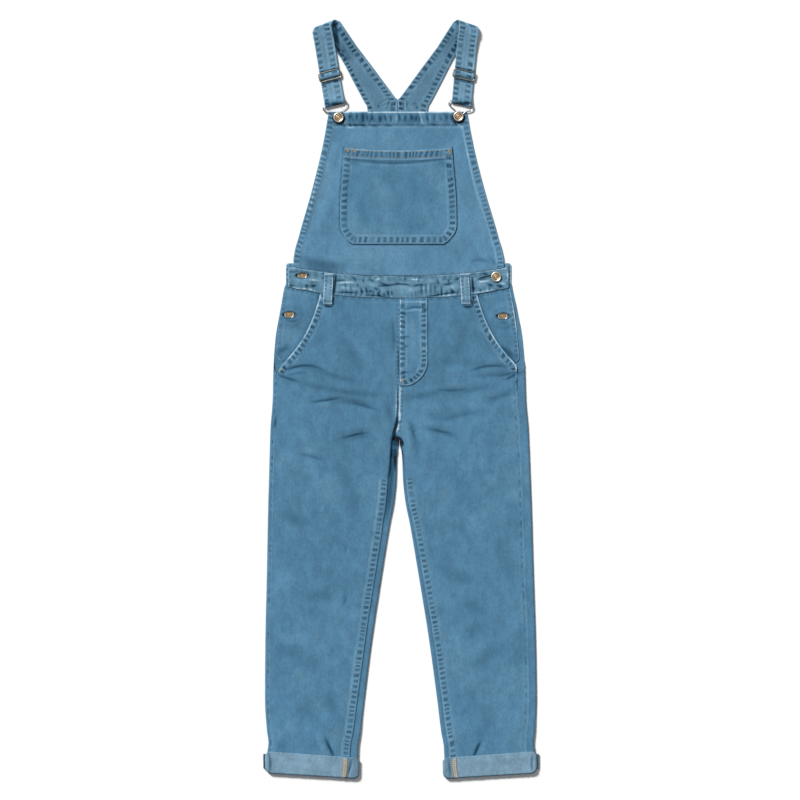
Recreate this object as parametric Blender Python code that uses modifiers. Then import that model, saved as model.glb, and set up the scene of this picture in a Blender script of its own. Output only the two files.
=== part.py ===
"""Denim dungarees laid flat on their back, as cut and sewn pieces.

The wearer's left is +X, the shoulders are +Y and the front faces up, +Z. The back rests on Z = 0. Lengths
are in millimetres until a point goes into a mesh. Each piece of cloth is a grid of points on its hollow
side, thickened away from it, and each height is a Y.
"""

import math
from collections import namedtuple

import bmesh
import bpy
from mathutils import Vector

MM = 0.001
CUTTER_DEPTH = 30.0
LENS_POINT = 0.35  # 0 cuts an ellipse, and more draws its ends out to points
COLLECTION = "dungarees"
CUTTERS = "cutters"
SIDES = {"left": 1, "right": -1}

# Layers
CLOTH = 1.2  # one layer of denim
HEMMED = 2.2  # denim turned and stitched: hems, waistband, turn-ups
STRAP = 1.6  # folded denim: the straps and the back waistband
GAP = 0.3  # between two pieces that touch
SPACE = 3.0  # the front panels' underside at a seam
LIFT = HEMMED + GAP  # how far a turn-up raises the leg inside it
LEAN = 0.005  # the centre line's drift to -X for each millimetre up, as the garment lies a little turned
CENTRE_AT = -668.0  # where the centre line crosses X = 0, at the widest part of the turn-ups

# Heights
CUFF_TOP_OUTER = -651.0
CUFF_TOP_INNER = -663.0
CUFF_END_OUTER = -692.0
CUFF_END_INNER = -702.3
CROTCH_FRONT = -58.0
CROTCH_BACK = -84.0
POCKET_END = 50.0  # where a hip pocket's mouth meets the side seam
BAND_BOTTOM = 187.0  # the front waistband at the centre
BAND_TOP = 228.0
BACK_BAND_BOTTOM = 211.5
BACK_BAND_TOP = 252.0
BIB_TOP = 532.0

# Half-widths
CUFF_OUTER = 249.0  # the leg inside the turn-ups
CUFF_INNER = 79.5
CUFF_FLARE = 3.6  # how far the back half of a turn-up stands out beyond the front half
BAND_HALF = 204.0
BACK_BAND_HALF = 208.5
BACK_BAND_CORNER = 6.0  # the radius of the back waistband's upper corners
BAND_BOTTOM_RISE = 20.0  # how much higher the band's edges are at its ends than at the centre
BAND_TOP_RISE = 17.0
BAND_RISE_POWER = 2.4

# Hems
BIB_SIDE_HEM = 13.0
BIB_TOP_HEM = 25.0
POCKET_HEM = 19.0
HEM_STEP = 1.5  # the slope from a hem down to the single cloth beside it

Leg = namedtuple("Leg", "height outer inner")
LEGS = (
    Leg(252, 208.5, 0.15),
    Leg(220, 209.0, 0.15),
    Leg(165, 219.0, 0.15),
    Leg(110, 228.5, 0.15),
    Leg(54, 232.5, 0.15),
    Leg(0, 234.0, 0.15),
    Leg(-57, 238.5, 0.15),
    Leg(-84, 239.5, 0.8),
    Leg(-96, 240.0, 3.5),
    Leg(-112, 240.5, 5.0),
    Leg(-144, 241.5, 6.0),
    Leg(-186, 243.0, 10.0),
    Leg(-233, 244.3, 19.0),
    Leg(-325, 246.5, 34.2),
    Leg(-445, 249.8, 53.0),
    Leg(-556, 251.0, 67.5),
    Leg(-612, 248.0, 74.5),
    Leg(-640, 245.0, 79.5),
    Leg(-668, 248.4, 80.3),
    Leg(-703, 248.7, 79.8),
)

# How much of the back panel shows on top, beyond the side seam (outer) and the inside leg seam (inner). The
# legs lie rolled a little to -X, so the wearer's left leg shows its side seam more.
Strip = namedtuple("Strip", "height left_outer left_inner right_outer right_inner")
STRIPS = (
    Strip(60, 14.0, 3.0, 7.0, 16.0),
    Strip(-70, 13.8, 3.0, 6.8, 16.0),
    Strip(-105, 13.5, 3.2, 6.8, 11.0),
    Strip(-150, 13.5, 3.6, 6.8, 14.5),
    Strip(-270, 13.5, 5.6, 7.4, 10.8),
    Strip(-445, 12.2, 7.0, 7.4, 10.8),
    Strip(-700, 12.4, 7.4, 6.4, 14.0),
)

# The centre front seam, as it wanders from the centre line, and the mouth of a hip pocket.
CENTRE_SEAM = ((-64, -8.0), (-40, -2.0), (30, 1.7), (186, 2.0))
POCKET_MOUTH = ((50, 224.0), (63, 217.0), (83, 199.5), (115, 174.5), (148, 157.5), (186, 145.5), (206, 142.0))

# A hip facing: how far it reaches behind the front panel, and how far its placket lies in from the back
# panel's edge. Below the placket it draws in behind the front panel.
FACING_LAP = 13.0
FACING_INNER_MOST = 203.0
FACING_MARGIN = {"left": 9.0, "right": 3.6}
FACING_TOP_HALF = 236.0
FACING_LOW_HALF = 211.0

# The fly lap: its width, and where its edge starts to curve back to the centre seam.
FLY_WIDTH = 51.0
FLY_TURN = 72.0
FLY_END = 23.0

# Folds across the front: a line from (x0, y0) to (x1, y1), bowed to its left by bow, with a half-width and
# a height, which is below 0 for a trough.
Fold = namedtuple("Fold", "x0 y0 x1 y1 bow width height")
FOLDS = (
    Fold(-216, 58, -140, 61, 4, 9, -1.1),
    Fold(-222, 44, -168, 29, 3, 9, -0.9),
    Fold(-206, 48, -140, 45, 4, 9, 0.8),
    Fold(-164, -6, -42, -22, 10, 9, -1.2),
    Fold(-156, 8, -52, -4, 9, 11, 0.9),
    Fold(-110, -74, -54, -62, 3, 9, -1.1),
    Fold(-104, -60, -50, -49, 3, 9, 0.7),
    Fold(-192, -99, -140, -113, -3, 10, -1.0),
    Fold(48, 60, 166, 60, 3, 9, -1.0),
    Fold(60, 74, 150, 74, 3, 10, 0.7),
    Fold(80, 14, 163, 25, 4, 9, -0.9),
    Fold(20, -31, 130, -20, -4, 9, -1.1),
    Fold(30, -18, 120, -8, -4, 10, 0.8),
    Fold(34, -49, 100, -67, 3, 9, -0.9),
    Fold(18, -52, 32, -136, 8, 8, -0.9),
    Fold(30, -60, 45, -140, 8, 10, 0.8),
    Fold(-244, -279, -206, -310, 3, 11, 0.8),
    Fold(-184, -374, -114, -361, 4, 12, -0.8),
    Fold(-244, -470, -138, -494, 8, 13, -0.9),
    Fold(-230, -452, -140, -474, 8, 13, 0.8),
    Fold(-195, -583, -137, -581, 5, 12, -0.8),
    Fold(130, -378, 160, -422, 4, 12, -0.8),
    Fold(150, -490, 196, -462, 4, 12, -0.8),
    Fold(140, -476, 184, -448, 4, 12, 0.7),
    Fold(120, -566, 180, -572, 4, 12, 0.7),
)

# Half-widths of the front bib, of the back bib behind it, and of the bib pocket with its cut-off lower corners.
BIB_EDGE = ((245, 194.5), (275, 190.8), (304, 183.5), (387, 159.5), (470, 139.0), (532, 127.5))
BACK_BIB_EDGE = ((252, 165.0), (310, 130.0), (370, 100.0), (430, 77.0), (490, 61.0), (514, 57.0))
POCKET_EDGE = ((287, 84.0), (291, 90.0), (299, 98.0), (309, 105.0), (322, 108.0), (345, 108.0), (465, 100.0))
POCKET_TOP = 465.0
POCKET_BOTTOM = 287.0
POCKET_TOP_SAG = 5.0

# The wide base of a strap, a row for each line across it from its inner edge to its outer edge. The two bases
# meet at the centre, below the tip of the V.
Line = namedtuple("Line", "inner_x inner_y outer_x outer_y")
STRAP_BASE = (
    Line(0.15, 514.3, 57.0, 514.3),
    Line(0.15, 532.0, 55.5, 524.0),
    Line(0.15, 552.5, 57.0, 541.0),
    Line(5.5, 559.5, 61.5, 549.0),
    Line(22.5, 582.5, 73.5, 571.5),
    Line(42.0, 609.0, 84.7, 593.0),
    Line(61.3, 634.8, 94.8, 612.9),
)
# A strap: its middle at the end of its base, at the fold over the shoulder on the back and on the front layer,
# and at the buckle's bar. bar_turn is how far the bar and the slider are turned, in degrees.
STRAP_WIDTH = 37.0
STRAP_FOLD_RADIUS = 2.5
STRAP_BAR_RADIUS = 2.1
Way = namedtuple("Way", "base_x base_y back_x front_x fold_y bar_x bar_y bar_turn")
STRAP_WAYS = {
    "left": Way(78.3, 624.2, 123.0, 132.6, 693.8, 118.0, 547.5, 12.5),
    "right": Way(78.3, 624.2, 125.0, 140.5, 694.1, 116.8, 546.5, 14.5),
}
# The front layer's underside above the floor, at distances up from the buckle's bar.
STRAP_RISE = (
    (3, 5.8), (8, 4.2), (14, 2.7), (22, 2.0), (42, 1.9), (46.4, 1.95), (48.2, 2.6), (50, 4.4), (51.4, 5.5),
    (53, 5.8), (54.6, 5.5), (56, 4.4), (57.8, 2.6), (59.6, 1.95), (64, 1.9), (74, 1.9), (92, 2.1), (120, 5.0),
    (142, 6.6),
)
STRAP_RETURN = 50.0  # how far the end comes back up under the front layer
SLIDER_UP = 53.0  # the slider's bar, up from the buckle's bar
STRAP_OVER_BAR = (62, 59.6, 58.6, 57.6, 56.5, 55.3, 54.2, 53, 51.8, 50.7, 49.5, 48.4, 47.4, 46.4, 44)
TURNED_BELOW = (70.0, 105.0)  # the strap's rows turn to match the bar between these distances up from it

# Metal
WIRE = 1.2  # the buckle wire's radius
SLIDER_HALF = (21.4, 9.5)
SLIDER_RAIL = 2.0
SLIDER_THICK = 1.6
SLIDER_CENTRE = 4.6
BUTTON_RADIUS = 9.5
BUTTON_CAP = 2.5
BUTTON_STEM = 3.0
BUTTON_SIDES = 16
BIB_BUTTONS = {"left": (112.2, 523.2), "right": (109.5, 521.2)}
WAIST_BUTTONS = {"left": (180.5, 226.5), "right": (178.0, 229.0)}
HIP_BUTTONS = {"left": (192.5, 154.0), "right": (202.5, 156.5)}
BUTTON_SEAT = 1.5  # a button's thickness where it lies under its buttonhole
BUTTON_SWELL = (18.0, 7.0)  # how far beyond the button the cloth over it starts to rise, and where it is level
HIP_BUTTONHOLE = (13.0, 5.5)  # half-length and half-width of a buttonhole spread by the button behind it
WAIST_BUTTONHOLE = (13.0, 4.8)
WAIST_SLIT = (12.5, 1.6)  # the other waist buttonhole, with its button fastened through it
WAIST_SLIT_AT = (160.0, 225.5)
WAIST_SLIT_TURN = math.radians(14)

# Belt loops
LOOP_X = {"left": 124.5, "right": 131.5}
LOOP_WIDTH = 16.5
LOOP_TOP = 232.0
LOOP_BOTTOM = 175.5
LOOP_THICK = 1.6


def smooth(value, start, end):
    """Eases from 0 at start to 1 at end."""
    part = min(max((value - start) / (end - start), 0.0), 1.0)
    return part * part * (3.0 - 2.0 * part)


def blend(first, second, part):
    """The value this part of the way from first to second."""
    return first + (second - first) * part


def through(rows, place):
    """Reads a smooth curve through rows of (place, value), level beyond its ends."""
    rows = sorted(rows)
    if place <= rows[0][0]:
        return rows[0][1]
    for number, (start, end) in enumerate(zip(rows, rows[1:])):
        if place <= end[0]:
            break
    else:
        return rows[-1][1]
    step = end[0] - start[0]
    slope = (end[1] - start[1]) / step

    def tangent(left, right):
        one = (left[1] - right[1]) / (left[0] - right[0])
        return 0.0 if one * slope <= 0 else 2.0 * one * slope / (one + slope)

    enter = tangent(rows[number - 1], start) if number > 0 else slope
    leave = tangent(end, rows[number + 2]) if number + 2 < len(rows) else slope
    part = (place - start[0]) / step
    value = start[1] + (end[1] - start[1]) * part * part * (3 - 2 * part)
    value += step * part * (1 - part) * (enter * (1 - part) - leave * part)
    return value


def column(table, name):
    """The rows of (height, value) for one named column of a table."""
    return tuple((row.height, getattr(row, name)) for row in table)


def centre(height):
    """The x of the garment's centre line."""
    return -LEAN * (height - CENTRE_AT)


def outer_edge(height):
    return through(column(LEGS, "outer"), height)


def inner_edge(height):
    return through(column(LEGS, "inner"), height)


def strip(side, edge, height):
    """How much of the back panel shows beyond a seam."""
    return through(column(STRIPS, side + "_" + edge), height)


def spread(start, end, count):
    """Evenly spaced values, count steps from start to end."""
    return [blend(start, end, step / count) for step in range(count + 1)]


# ---------------------------------------------------------------- the front's shape


def relief(x, y):
    """The height that the folds add at a point of the front."""
    total = 0.0
    for fold in FOLDS:
        along = Vector((fold.x1 - fold.x0, fold.y1 - fold.y0))
        offset = Vector((x - fold.x0, y - fold.y0))
        part = offset.dot(along) / along.length_squared
        if not 0.0 < part < 1.0:
            continue
        away = along.cross(offset) / along.length - fold.bow * 4.0 * part * (1.0 - part)
        total += fold.height * math.exp(-((away / fold.width) ** 2)) * math.sin(math.pi * part) ** 0.6
    return total


def puff(x, y):
    """How far the front stands off the back between the edges, a little air in the legs and hips."""
    offset = abs(x - centre(y))
    across_hips = 1.0 - (offset / outer_edge(y)) ** 4
    middle = (outer_edge(y) + inner_edge(y)) / 2
    half = (outer_edge(y) - inner_edge(y)) / 2
    across_leg = max(1.0 - ((offset - middle) / half) ** 4, 0.0)
    legs = smooth(y, -50, -130)
    height = blend(0.9, 1.1, smooth(y, 150, -20)) * smooth(y, 190, 150)
    return height * blend(across_hips, across_leg, legs) * smooth(y, -650, -600)


def lift(y):
    """How far the leg is raised by the turn-up under it."""
    return LIFT * smooth(y, -570, -645)


def mouth(side, height):
    """The outer edge of a front panel: the pocket mouth, then the side seam below it."""
    seam = outer_edge(height) - strip(side, "outer", height) - GAP / 2
    if height <= POCKET_END:
        return seam
    return min(through(POCKET_MOUTH, height), seam)


def front_inner(side, height):
    """The inner edge of a front panel, from the centre line: the centre seam, then the inside leg seam."""
    sign = SIDES[side]
    seam = through(CENTRE_SEAM, height) + sign * GAP / 2
    leg = sign * (inner_edge(height) + strip(side, "inner", height) + GAP / 2)
    return blend(seam, leg, smooth(height, CROTCH_FRONT, CROTCH_BACK))


def front_underside(side, x, y):
    """The underside of a front panel."""
    sign = SIDES[side]
    offset = (x - centre(y)) * sign
    to_edge = mouth(side, y) - offset
    if y < CROTCH_FRONT:
        to_edge = min(to_edge, offset - front_inner(side, y) * sign)
    free = smooth(to_edge, 2, 22)
    floor = blend(SPACE, CLOTH + GAP, smooth(to_edge, 16, 30))
    height = SPACE + puff(x, y) * smooth(to_edge, 0, 20) + relief(x, y) * free * smooth(y, -650, -610)
    return max(height, floor) + lift(y)


def waist_rise(x, rise):
    """How much higher an edge of the front waistband is at x than at the centre."""
    return rise * (abs(x) / BAND_HALF) ** BAND_RISE_POWER


def hem_tilt(y, offset):
    """The shift in y of a row near the hem, which hangs lower towards the inside of the leg."""
    part = min(max((offset - CUFF_INNER) / (CUFF_OUTER - CUFF_INNER), 0.0), 1.0)
    tilt = CUFF_END_OUTER - CUFF_END_INNER
    return tilt * (part - 0.5) * smooth(y, -560, -660)


LEG_END = (CUFF_END_OUTER + CUFF_END_INNER) / 2 + HEMMED + CLOTH / 2 + GAP

# The rows of the leg panels, which share those below the crotch so that their seams match.
HIP_ROWS = (BAND_BOTTOM - GAP, 165, 145, 126, 108, 93, 81, 71, 62, 54, 43, 31, 19, 7, -5, -17, -30, -44)
SHARED_ROWS = (-57, -66, -76, -84, -90, -96, -103, -112, -124, -140, -165, -195, -233, -275, -325, -362, -395)
SHARED_ROWS += (-432, -468, -500, -532, -560, -582, -602, -622, -643, LEG_END)
BACK_HIP_ROWS = (BACK_BAND_BOTTOM - GAP, 150, 93, 84, 77, 70, 63, 56, 50, 44, 19, -5, -30, -44)


def bump(x, y, button, height):
    """A round swelling over a button that lies under its buttonhole."""
    away = math.hypot(x - button[0], y - button[1])
    return height * smooth(away, BUTTON_RADIUS + BUTTON_SWELL[0], BUTTON_RADIUS + BUTTON_SWELL[1])


# ---------------------------------------------------------------- making solids


def material(name, colour, roughness, metallic=0.0):
    """A plain Principled material."""
    made = bpy.data.materials.new(name)
    made.use_nodes = True
    shader = made.node_tree.nodes["Principled BSDF"]
    shader.inputs["Base Color"].default_value = (*colour, 1.0)
    shader.inputs["Roughness"].default_value = roughness
    shader.inputs["Metallic"].default_value = metallic
    return made


def add(name, mesh, look):
    """Puts a mesh in the garment's collection as a named object."""
    made = bpy.data.objects.new(name, mesh)
    mesh.materials.append(look)
    bpy.data.collections[COLLECTION].objects.link(made)
    return made


def cloth(name, rows, look, thickness=CLOTH, thick_part=None):
    """A wall of cloth on a grid, rows of points on its hollow side, growing along the grid's normals.

    thick_part gives each point's share of the thickness, for a hem that is thicker than its panel.
    """
    across = len(rows[0]) - 1
    along = len(rows) - 1
    grid = bmesh.new()
    bmesh.ops.create_grid(grid, x_segments=across, y_segments=along, size=0.5)
    places = {}
    for corner in grid.verts:
        place = (round((corner.co.y + 0.5) * along), round((corner.co.x + 0.5) * across))
        places[corner.index] = place
        corner.co = Vector(rows[place[0]][place[1]]) * MM
    mesh = bpy.data.meshes.new(name)
    grid.to_mesh(mesh)
    grid.free()
    made = add(name, mesh, look)
    wall = made.modifiers.new("Wall", "SOLIDIFY")
    wall.thickness = thickness * MM
    wall.offset = 1.0
    wall.use_even_offset = True
    wall.use_quality_normals = True
    if thick_part:
        hem = made.vertex_groups.new(name="hem")
        for index, (row, cell) in places.items():
            hem.add([index], thick_part[row][cell], "REPLACE")
        wall.vertex_group = hem.name
    return made


def cut(target, cutter_mesh, name):
    """Cuts a hole through a piece."""
    cutter = bpy.data.objects.new(name, cutter_mesh)
    bpy.data.collections[CUTTERS].objects.link(cutter)
    cutter.hide_render = True
    cutter.display_type = "WIRE"
    hole = target.modifiers.new(name, "BOOLEAN")
    hole.object = cutter
    hole.solver = "EXACT"


def lens(name, middle, half_length, half_width, turn=0.0):
    """A cutter with the outline of a spread buttonhole, pointed at its two ends."""
    shape = bmesh.new()
    bmesh.ops.create_cone(shape, cap_ends=True, segments=16, radius1=1.0, radius2=1.0, depth=CUTTER_DEPTH)
    for corner in shape.verts:
        along = corner.co.x * half_length
        across = corner.co.y * abs(corner.co.y) ** LENS_POINT * half_width
        corner.co.x = (middle[0] + along * math.cos(turn) - across * math.sin(turn)) * MM
        corner.co.y = (middle[1] + along * math.sin(turn) + across * math.cos(turn)) * MM
        corner.co.z *= MM
    mesh = bpy.data.meshes.new(name)
    shape.to_mesh(mesh)
    shape.free()
    return mesh


# ---------------------------------------------------------------- legs

LIP_STEPS = 4


def lip(angle, length):
    """The (out, up) points of an edge that turns up by an angle over an arc of this length."""
    points = []
    for step in range(LIP_STEPS + 1):
        turned = angle * step / LIP_STEPS
        if angle < 0.01:
            points.append((length * step / LIP_STEPS, 0.0))
            continue
        radius = length / angle
        points.append((radius * math.sin(turned), radius * (1.0 - math.cos(turned))))
    return points


def back_edge(side, edge, height):
    """One edge of a back panel on its hollow face: (out, up) points from the floor round to the strip's end.

    The points end with the free edge of the strip on top. Above the hips, and above the crotch, the panel
    stays flat.
    """
    arc = math.pi * (SPACE - CLOTH) / 2
    if edge == "outer":
        turned = math.pi * smooth(height, 84, POCKET_END - 6)
        reach = outer_edge(height)
        sign = 1
    else:
        turned = math.pi * smooth(height, CROTCH_BACK, CROTCH_BACK - 26)
        reach = inner_edge(height)
        sign = -1
    points = lip(turned, arc)
    folded = smooth(turned, math.pi * 0.8, math.pi)
    tail = blend(0.5, strip(side, edge, height) - SPACE / 2 - CLOTH / 2 - GAP / 2, folded)
    last = points[-1]
    points.append((last[0] + tail * math.cos(turned), last[1] + tail * math.sin(turned)))
    if turned < math.pi / 2:
        most = points[-1][0] + CLOTH * math.sin(turned)
    else:
        most = arc / turned + CLOTH
    return [(reach + sign * (out - most), up) for out, up in points]


def back_leg(side, look):
    """A back leg panel: flat on the floor, wrapped round both edges of the leg below the hips."""
    sign = SIDES[side]
    rows = []
    for height in BACK_HIP_ROWS + SHARED_ROWS:
        outer = back_edge(side, "outer", height)
        inner = back_edge(side, "inner", height)
        floor = [(blend(inner[0][0], outer[0][0], part), 0.0) for part in (0.33, 0.67)]
        section = inner[::-1] + floor + outer
        row = []
        for x, up in section:
            row.append((centre(height) + sign * x, height + hem_tilt(height, x), CLOTH + up + lift(height)))
        rows.append(row if sign > 0 else row[::-1])
    return cloth("back_leg_" + side, rows, look)


def front_leg(side, look):
    """A front leg panel, from the waistband to the hem, with its folds."""
    sign = SIDES[side]
    rows = []
    for height in HIP_ROWS + SHARED_ROWS:
        start = front_inner(side, height)
        end = sign * mouth(side, height)
        fade = smooth(height, 80, BAND_BOTTOM)
        row = []
        for part in (0.0, 0.08, 0.2, 0.33, 0.46, 0.59, 0.72, 0.86, 1.0):
            offset = blend(start, end, part)
            x = centre(height) + offset
            y = height + waist_rise(x, BAND_BOTTOM_RISE) * fade + hem_tilt(height, abs(offset))
            row.append((x, y, front_underside(side, x, y)))
        rows.append(row if sign > 0 else row[::-1])
    return cloth("front_leg_" + side, rows[::-1], look)


def hip_facing(side, look):
    """The facing behind a hip pocket's mouth, whose outer edge is the side placket with its buttonhole."""
    sign = SIDES[side]
    button = (sign * HIP_BUTTONS[side][0] + centre(HIP_BUTTONS[side][1]), HIP_BUTTONS[side][1])
    rows = []
    for height in (BAND_BOTTOM - GAP, 178, 168, 158, 148, 138, 126, 112, 98, 84, 73, 64):
        start = min(through(POCKET_MOUTH, height) - FACING_LAP, FACING_INNER_MOST)
        low_end = blend(FACING_TOP_HALF, FACING_LOW_HALF, smooth(height, 90, 60))
        end = min(outer_edge(height) - FACING_MARGIN[side], low_end)
        fade = smooth(height, 80, BAND_BOTTOM)
        row = []
        for part in spread(0.0, 1.0, 6):
            x = centre(height) + sign * blend(start, end, part)
            y = height + waist_rise(x, BAND_BOTTOM_RISE) * fade
            row.append((x, y, CLOTH + GAP + bump(x, y, button, BUTTON_SEAT + GAP)))
        rows.append(row if sign > 0 else row[::-1])
    made = cloth("hip_facing_" + side, rows[::-1], look)
    cut(made, lens("hip_buttonhole_" + side, button, *HIP_BUTTONHOLE), "hip_buttonhole_" + side)
    return made


def fly(look):
    """The fly lap on the wearer's left front, with its J-shaped edge."""
    rows = []
    for height in (BAND_BOTTOM - GAP, 165, 140, 115, 92, 78, 66, 54, 44, 35, 29, 25):
        drop = min(max((FLY_TURN - height) / (FLY_TURN - FLY_END), 0.0), 1.0)
        wide = FLY_WIDTH * math.sqrt(1.0 - drop * drop)
        start = through(CENTRE_SEAM, height) + GAP / 2
        fade = smooth(height, 80, BAND_BOTTOM)
        row = []
        for part in spread(0.0, 1.0, 4):
            x = centre(height) + start + wide * part
            y = height + waist_rise(x, BAND_BOTTOM_RISE) * fade
            row.append((x, y, front_underside("left", x, y) + CLOTH + GAP + 0.1))
        rows.append(row)
    return cloth("fly", rows[::-1], look)


# ---------------------------------------------------------------- turn-ups


def cuff(side, face, look):
    """Half of a turn-up: a wall outside the leg that turns in round the leg's end.

    Its cross-section is half of a flat ring round the leg, and along Y it is hooked under the leg's end.
    """
    sign = SIDES[side]
    radius = SPACE / 2  # of the leg's edge at the middle of its cloth
    level = HEMMED + GAP + CLOTH / 2 + radius
    middle = (CUFF_OUTER + CUFF_INNER) / 2
    half = (CUFF_OUTER - CUFF_INNER) / 2 - CLOTH / 2
    flare = CUFF_FLARE if face == "back" else 0.0
    up = 1 if face == "front" else -1
    inside = CLOTH / 2 + GAP
    path = [(1.0, inside), (0.75, inside), (0.4, inside), (0.0, inside)]
    path += [(-inside * math.sin(turn), inside * math.cos(turn)) for turn in (math.pi / 6, math.pi / 3, math.pi / 2)]
    path.append((-inside, -CLOTH / 2))
    rows = []
    for along, away in path:
        bend = radius + away
        start = math.asin(GAP / 2 / bend)
        ring = []
        for turn in spread(start, math.pi / 2, 3):
            ring.append((half - radius + flare + bend * math.cos(turn), bend * math.sin(turn)))
        ring += [(blend(half - radius + flare, radius - half, part), bend) for part in (0.2, 0.4, 0.6, 0.8)]
        for turn in spread(math.pi / 2, math.pi - start, 3):
            ring.append((radius - half + bend * math.cos(turn), bend * math.sin(turn)))
        row = []
        for out, high in ring:
            part = min(max((out + half) / (2 * half), 0.0), 1.0)
            top = blend(CUFF_TOP_INNER, CUFF_TOP_OUTER, part)
            end = blend(CUFF_END_INNER, CUFF_END_OUTER, part) + HEMMED + inside
            y = blend(end, top, along) if along > 0 else end + along
            row.append((centre(y) + sign * (middle + out), y, level + up * high))
        rows.append(row)
    if sign * up > 0:
        rows = rows[::-1]
    return cloth("cuff_" + face + "_" + side, [row[::-1] for row in rows], look, HEMMED)


# ---------------------------------------------------------------- waist


def front_waistband(look):
    """The front waistband, which smiles down at the centre, with its two buttonholes."""
    button = {}
    for side, sign in SIDES.items():
        x, y = WAIST_BUTTONS[side]
        button[side] = (sign * x + centre(y), y)
    rows = []
    for part in spread(0.0, 1.0, 3):
        row = []
        for across in spread(-1.0, 1.0, 30):
            x = centre(BAND_TOP) + across * BAND_HALF
            bottom = BAND_BOTTOM + waist_rise(x, BAND_BOTTOM_RISE)
            top = BAND_TOP + waist_rise(x, BAND_TOP_RISE)
            y = blend(bottom, top, part)
            row.append((x, y, STRAP + GAP + bump(x, y, button["right"], BUTTON_SEAT + GAP)))
        rows.append(row)
    made = cloth("front_waistband", rows, look, HEMMED)
    cut(made, lens("waist_buttonhole_right", button["right"], *WAIST_BUTTONHOLE), "waist_buttonhole_right")
    slit = (WAIST_SLIT_AT[0] + centre(WAIST_SLIT_AT[1]), WAIST_SLIT_AT[1])
    cut(made, lens("waist_buttonhole_left", slit, *WAIST_SLIT, turn=WAIST_SLIT_TURN), "waist_buttonhole_left")
    return made


def back_waistband(look):
    """The back waistband, flat on the floor, whose rounded upper corners show beyond the front."""
    rows = []
    corner = BACK_BAND_CORNER
    for height in (BACK_BAND_TOP, 250.5, 248.0, 240.0, BACK_BAND_BOTTOM):
        drop = max(corner - (BACK_BAND_TOP - height), 0.0)
        half = BACK_BAND_HALF - corner + math.sqrt(corner * corner - drop * drop)
        rows.append([(centre(height) + half * across, height, STRAP) for across in spread(1.0, -1.0, 4)])
    return cloth("back_waistband", rows[::-1], look, STRAP)


def belt_loop(side, look):
    """A belt loop over the front waistband, sewn down below it."""
    sign = SIDES[side]
    over_band = STRAP + HEMMED + 2 * GAP
    over_leg = SPACE + CLOTH + GAP
    profile = ((LOOP_BOTTOM, over_leg + 0.5), (180, over_leg + 0.7), (186, over_leg + 1.2), (192, over_band + 1.0))
    profile += ((204, over_band + 1.4), (218, over_band + 1.2), (226, over_band + 0.6), (LOOP_TOP, over_band))
    rows = []
    for height, under in profile:
        x = centre(height) + sign * LOOP_X[side]
        rows.append([(x + LOOP_WIDTH / 2 * across, height, under) for across in (-1.0, -0.4, 0.4, 1.0)])
    return cloth("belt_loop_" + side, rows, look, LOOP_THICK)


# ---------------------------------------------------------------- bibs


def bib_underside(x, y):
    """The front bib's underside: over the back bib and the waistband, and down to the floor beyond them."""
    behind = through(BACK_BIB_EDGE, y)
    beyond = smooth(abs(x - centre(y)), behind + 16.0, behind + 42.0) * smooth(y, BACK_BAND_TOP, 290)
    return (STRAP + GAP) * (1.0 - beyond)


def bib(look):
    """The front bib, with thicker hems at its top and sides."""
    hem = BIB_SIDE_HEM
    heights = [BIB_TOP, BIB_TOP - BIB_TOP_HEM, BIB_TOP - BIB_TOP_HEM - HEM_STEP, 485, 455, 425, 395, 365, 335, 308]
    heights += [288, 272, 256, 242, BAND_TOP + GAP]
    rows = []
    thick = []
    for height in heights:
        half = through(BIB_EDGE, height)
        single = half - hem - HEM_STEP
        offsets = [half, half - hem] + [single * part for part in (1.0, 0.88, 0.62, 0.37, 0.12)]
        offsets = [-offset for offset in offsets] + offsets[::-1]
        row = []
        share = []
        for offset in offsets:
            x = centre(height) + offset
            y = height + waist_rise(x, BAND_TOP_RISE) * smooth(height, 300, BAND_TOP)
            row.append((x, y, bib_underside(x, y)))
            hemmed = height > BIB_TOP - BIB_TOP_HEM - 1 or abs(offset) > half - hem - 1
            share.append(1.0 if hemmed else CLOTH / HEMMED)
        rows.append(row)
        thick.append(share)
    return cloth("bib", rows[::-1], look, HEMMED, thick[::-1])


def bib_pocket(look):
    """The patch pocket on the bib, with its lower corners rounded and a hem at its top."""
    hem = POCKET_TOP - POCKET_HEM
    rows = []
    thick = []
    for height in (POCKET_TOP, hem, hem - HEM_STEP, 420, 395, 365, 340, 320, 308, 297, 290, POCKET_BOTTOM):
        half = through(POCKET_EDGE, height)
        row = []
        for across in spread(-1.0, 1.0, 9):
            x = centre(height) + half * across
            y = height - POCKET_TOP_SAG * (1.0 - across * across) * smooth(height, 400, POCKET_TOP)
            row.append((x, y, bib_underside(x, y) + CLOTH + GAP + 0.15))
        rows.append(row)
        thick.append([1.0 if height > hem - 1 else CLOTH / HEMMED] * len(row))
    return cloth("bib_pocket", rows[::-1], look, HEMMED, thick[::-1])


def back_bib(look):
    """The back bib, flat on the floor behind the front one, up to the bases of the straps."""
    rows = []
    for height in (BACK_BAND_TOP + GAP, 310, 370, 430, 490, STRAP_BASE[0].inner_y - GAP):
        half = through(BACK_BIB_EDGE, height)
        rows.append([(centre(height) - half * across, height, CLOTH) for across in spread(-1.0, 1.0, 4)])
    return cloth("back_bib", rows, look)


# ---------------------------------------------------------------- straps and metal


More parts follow.
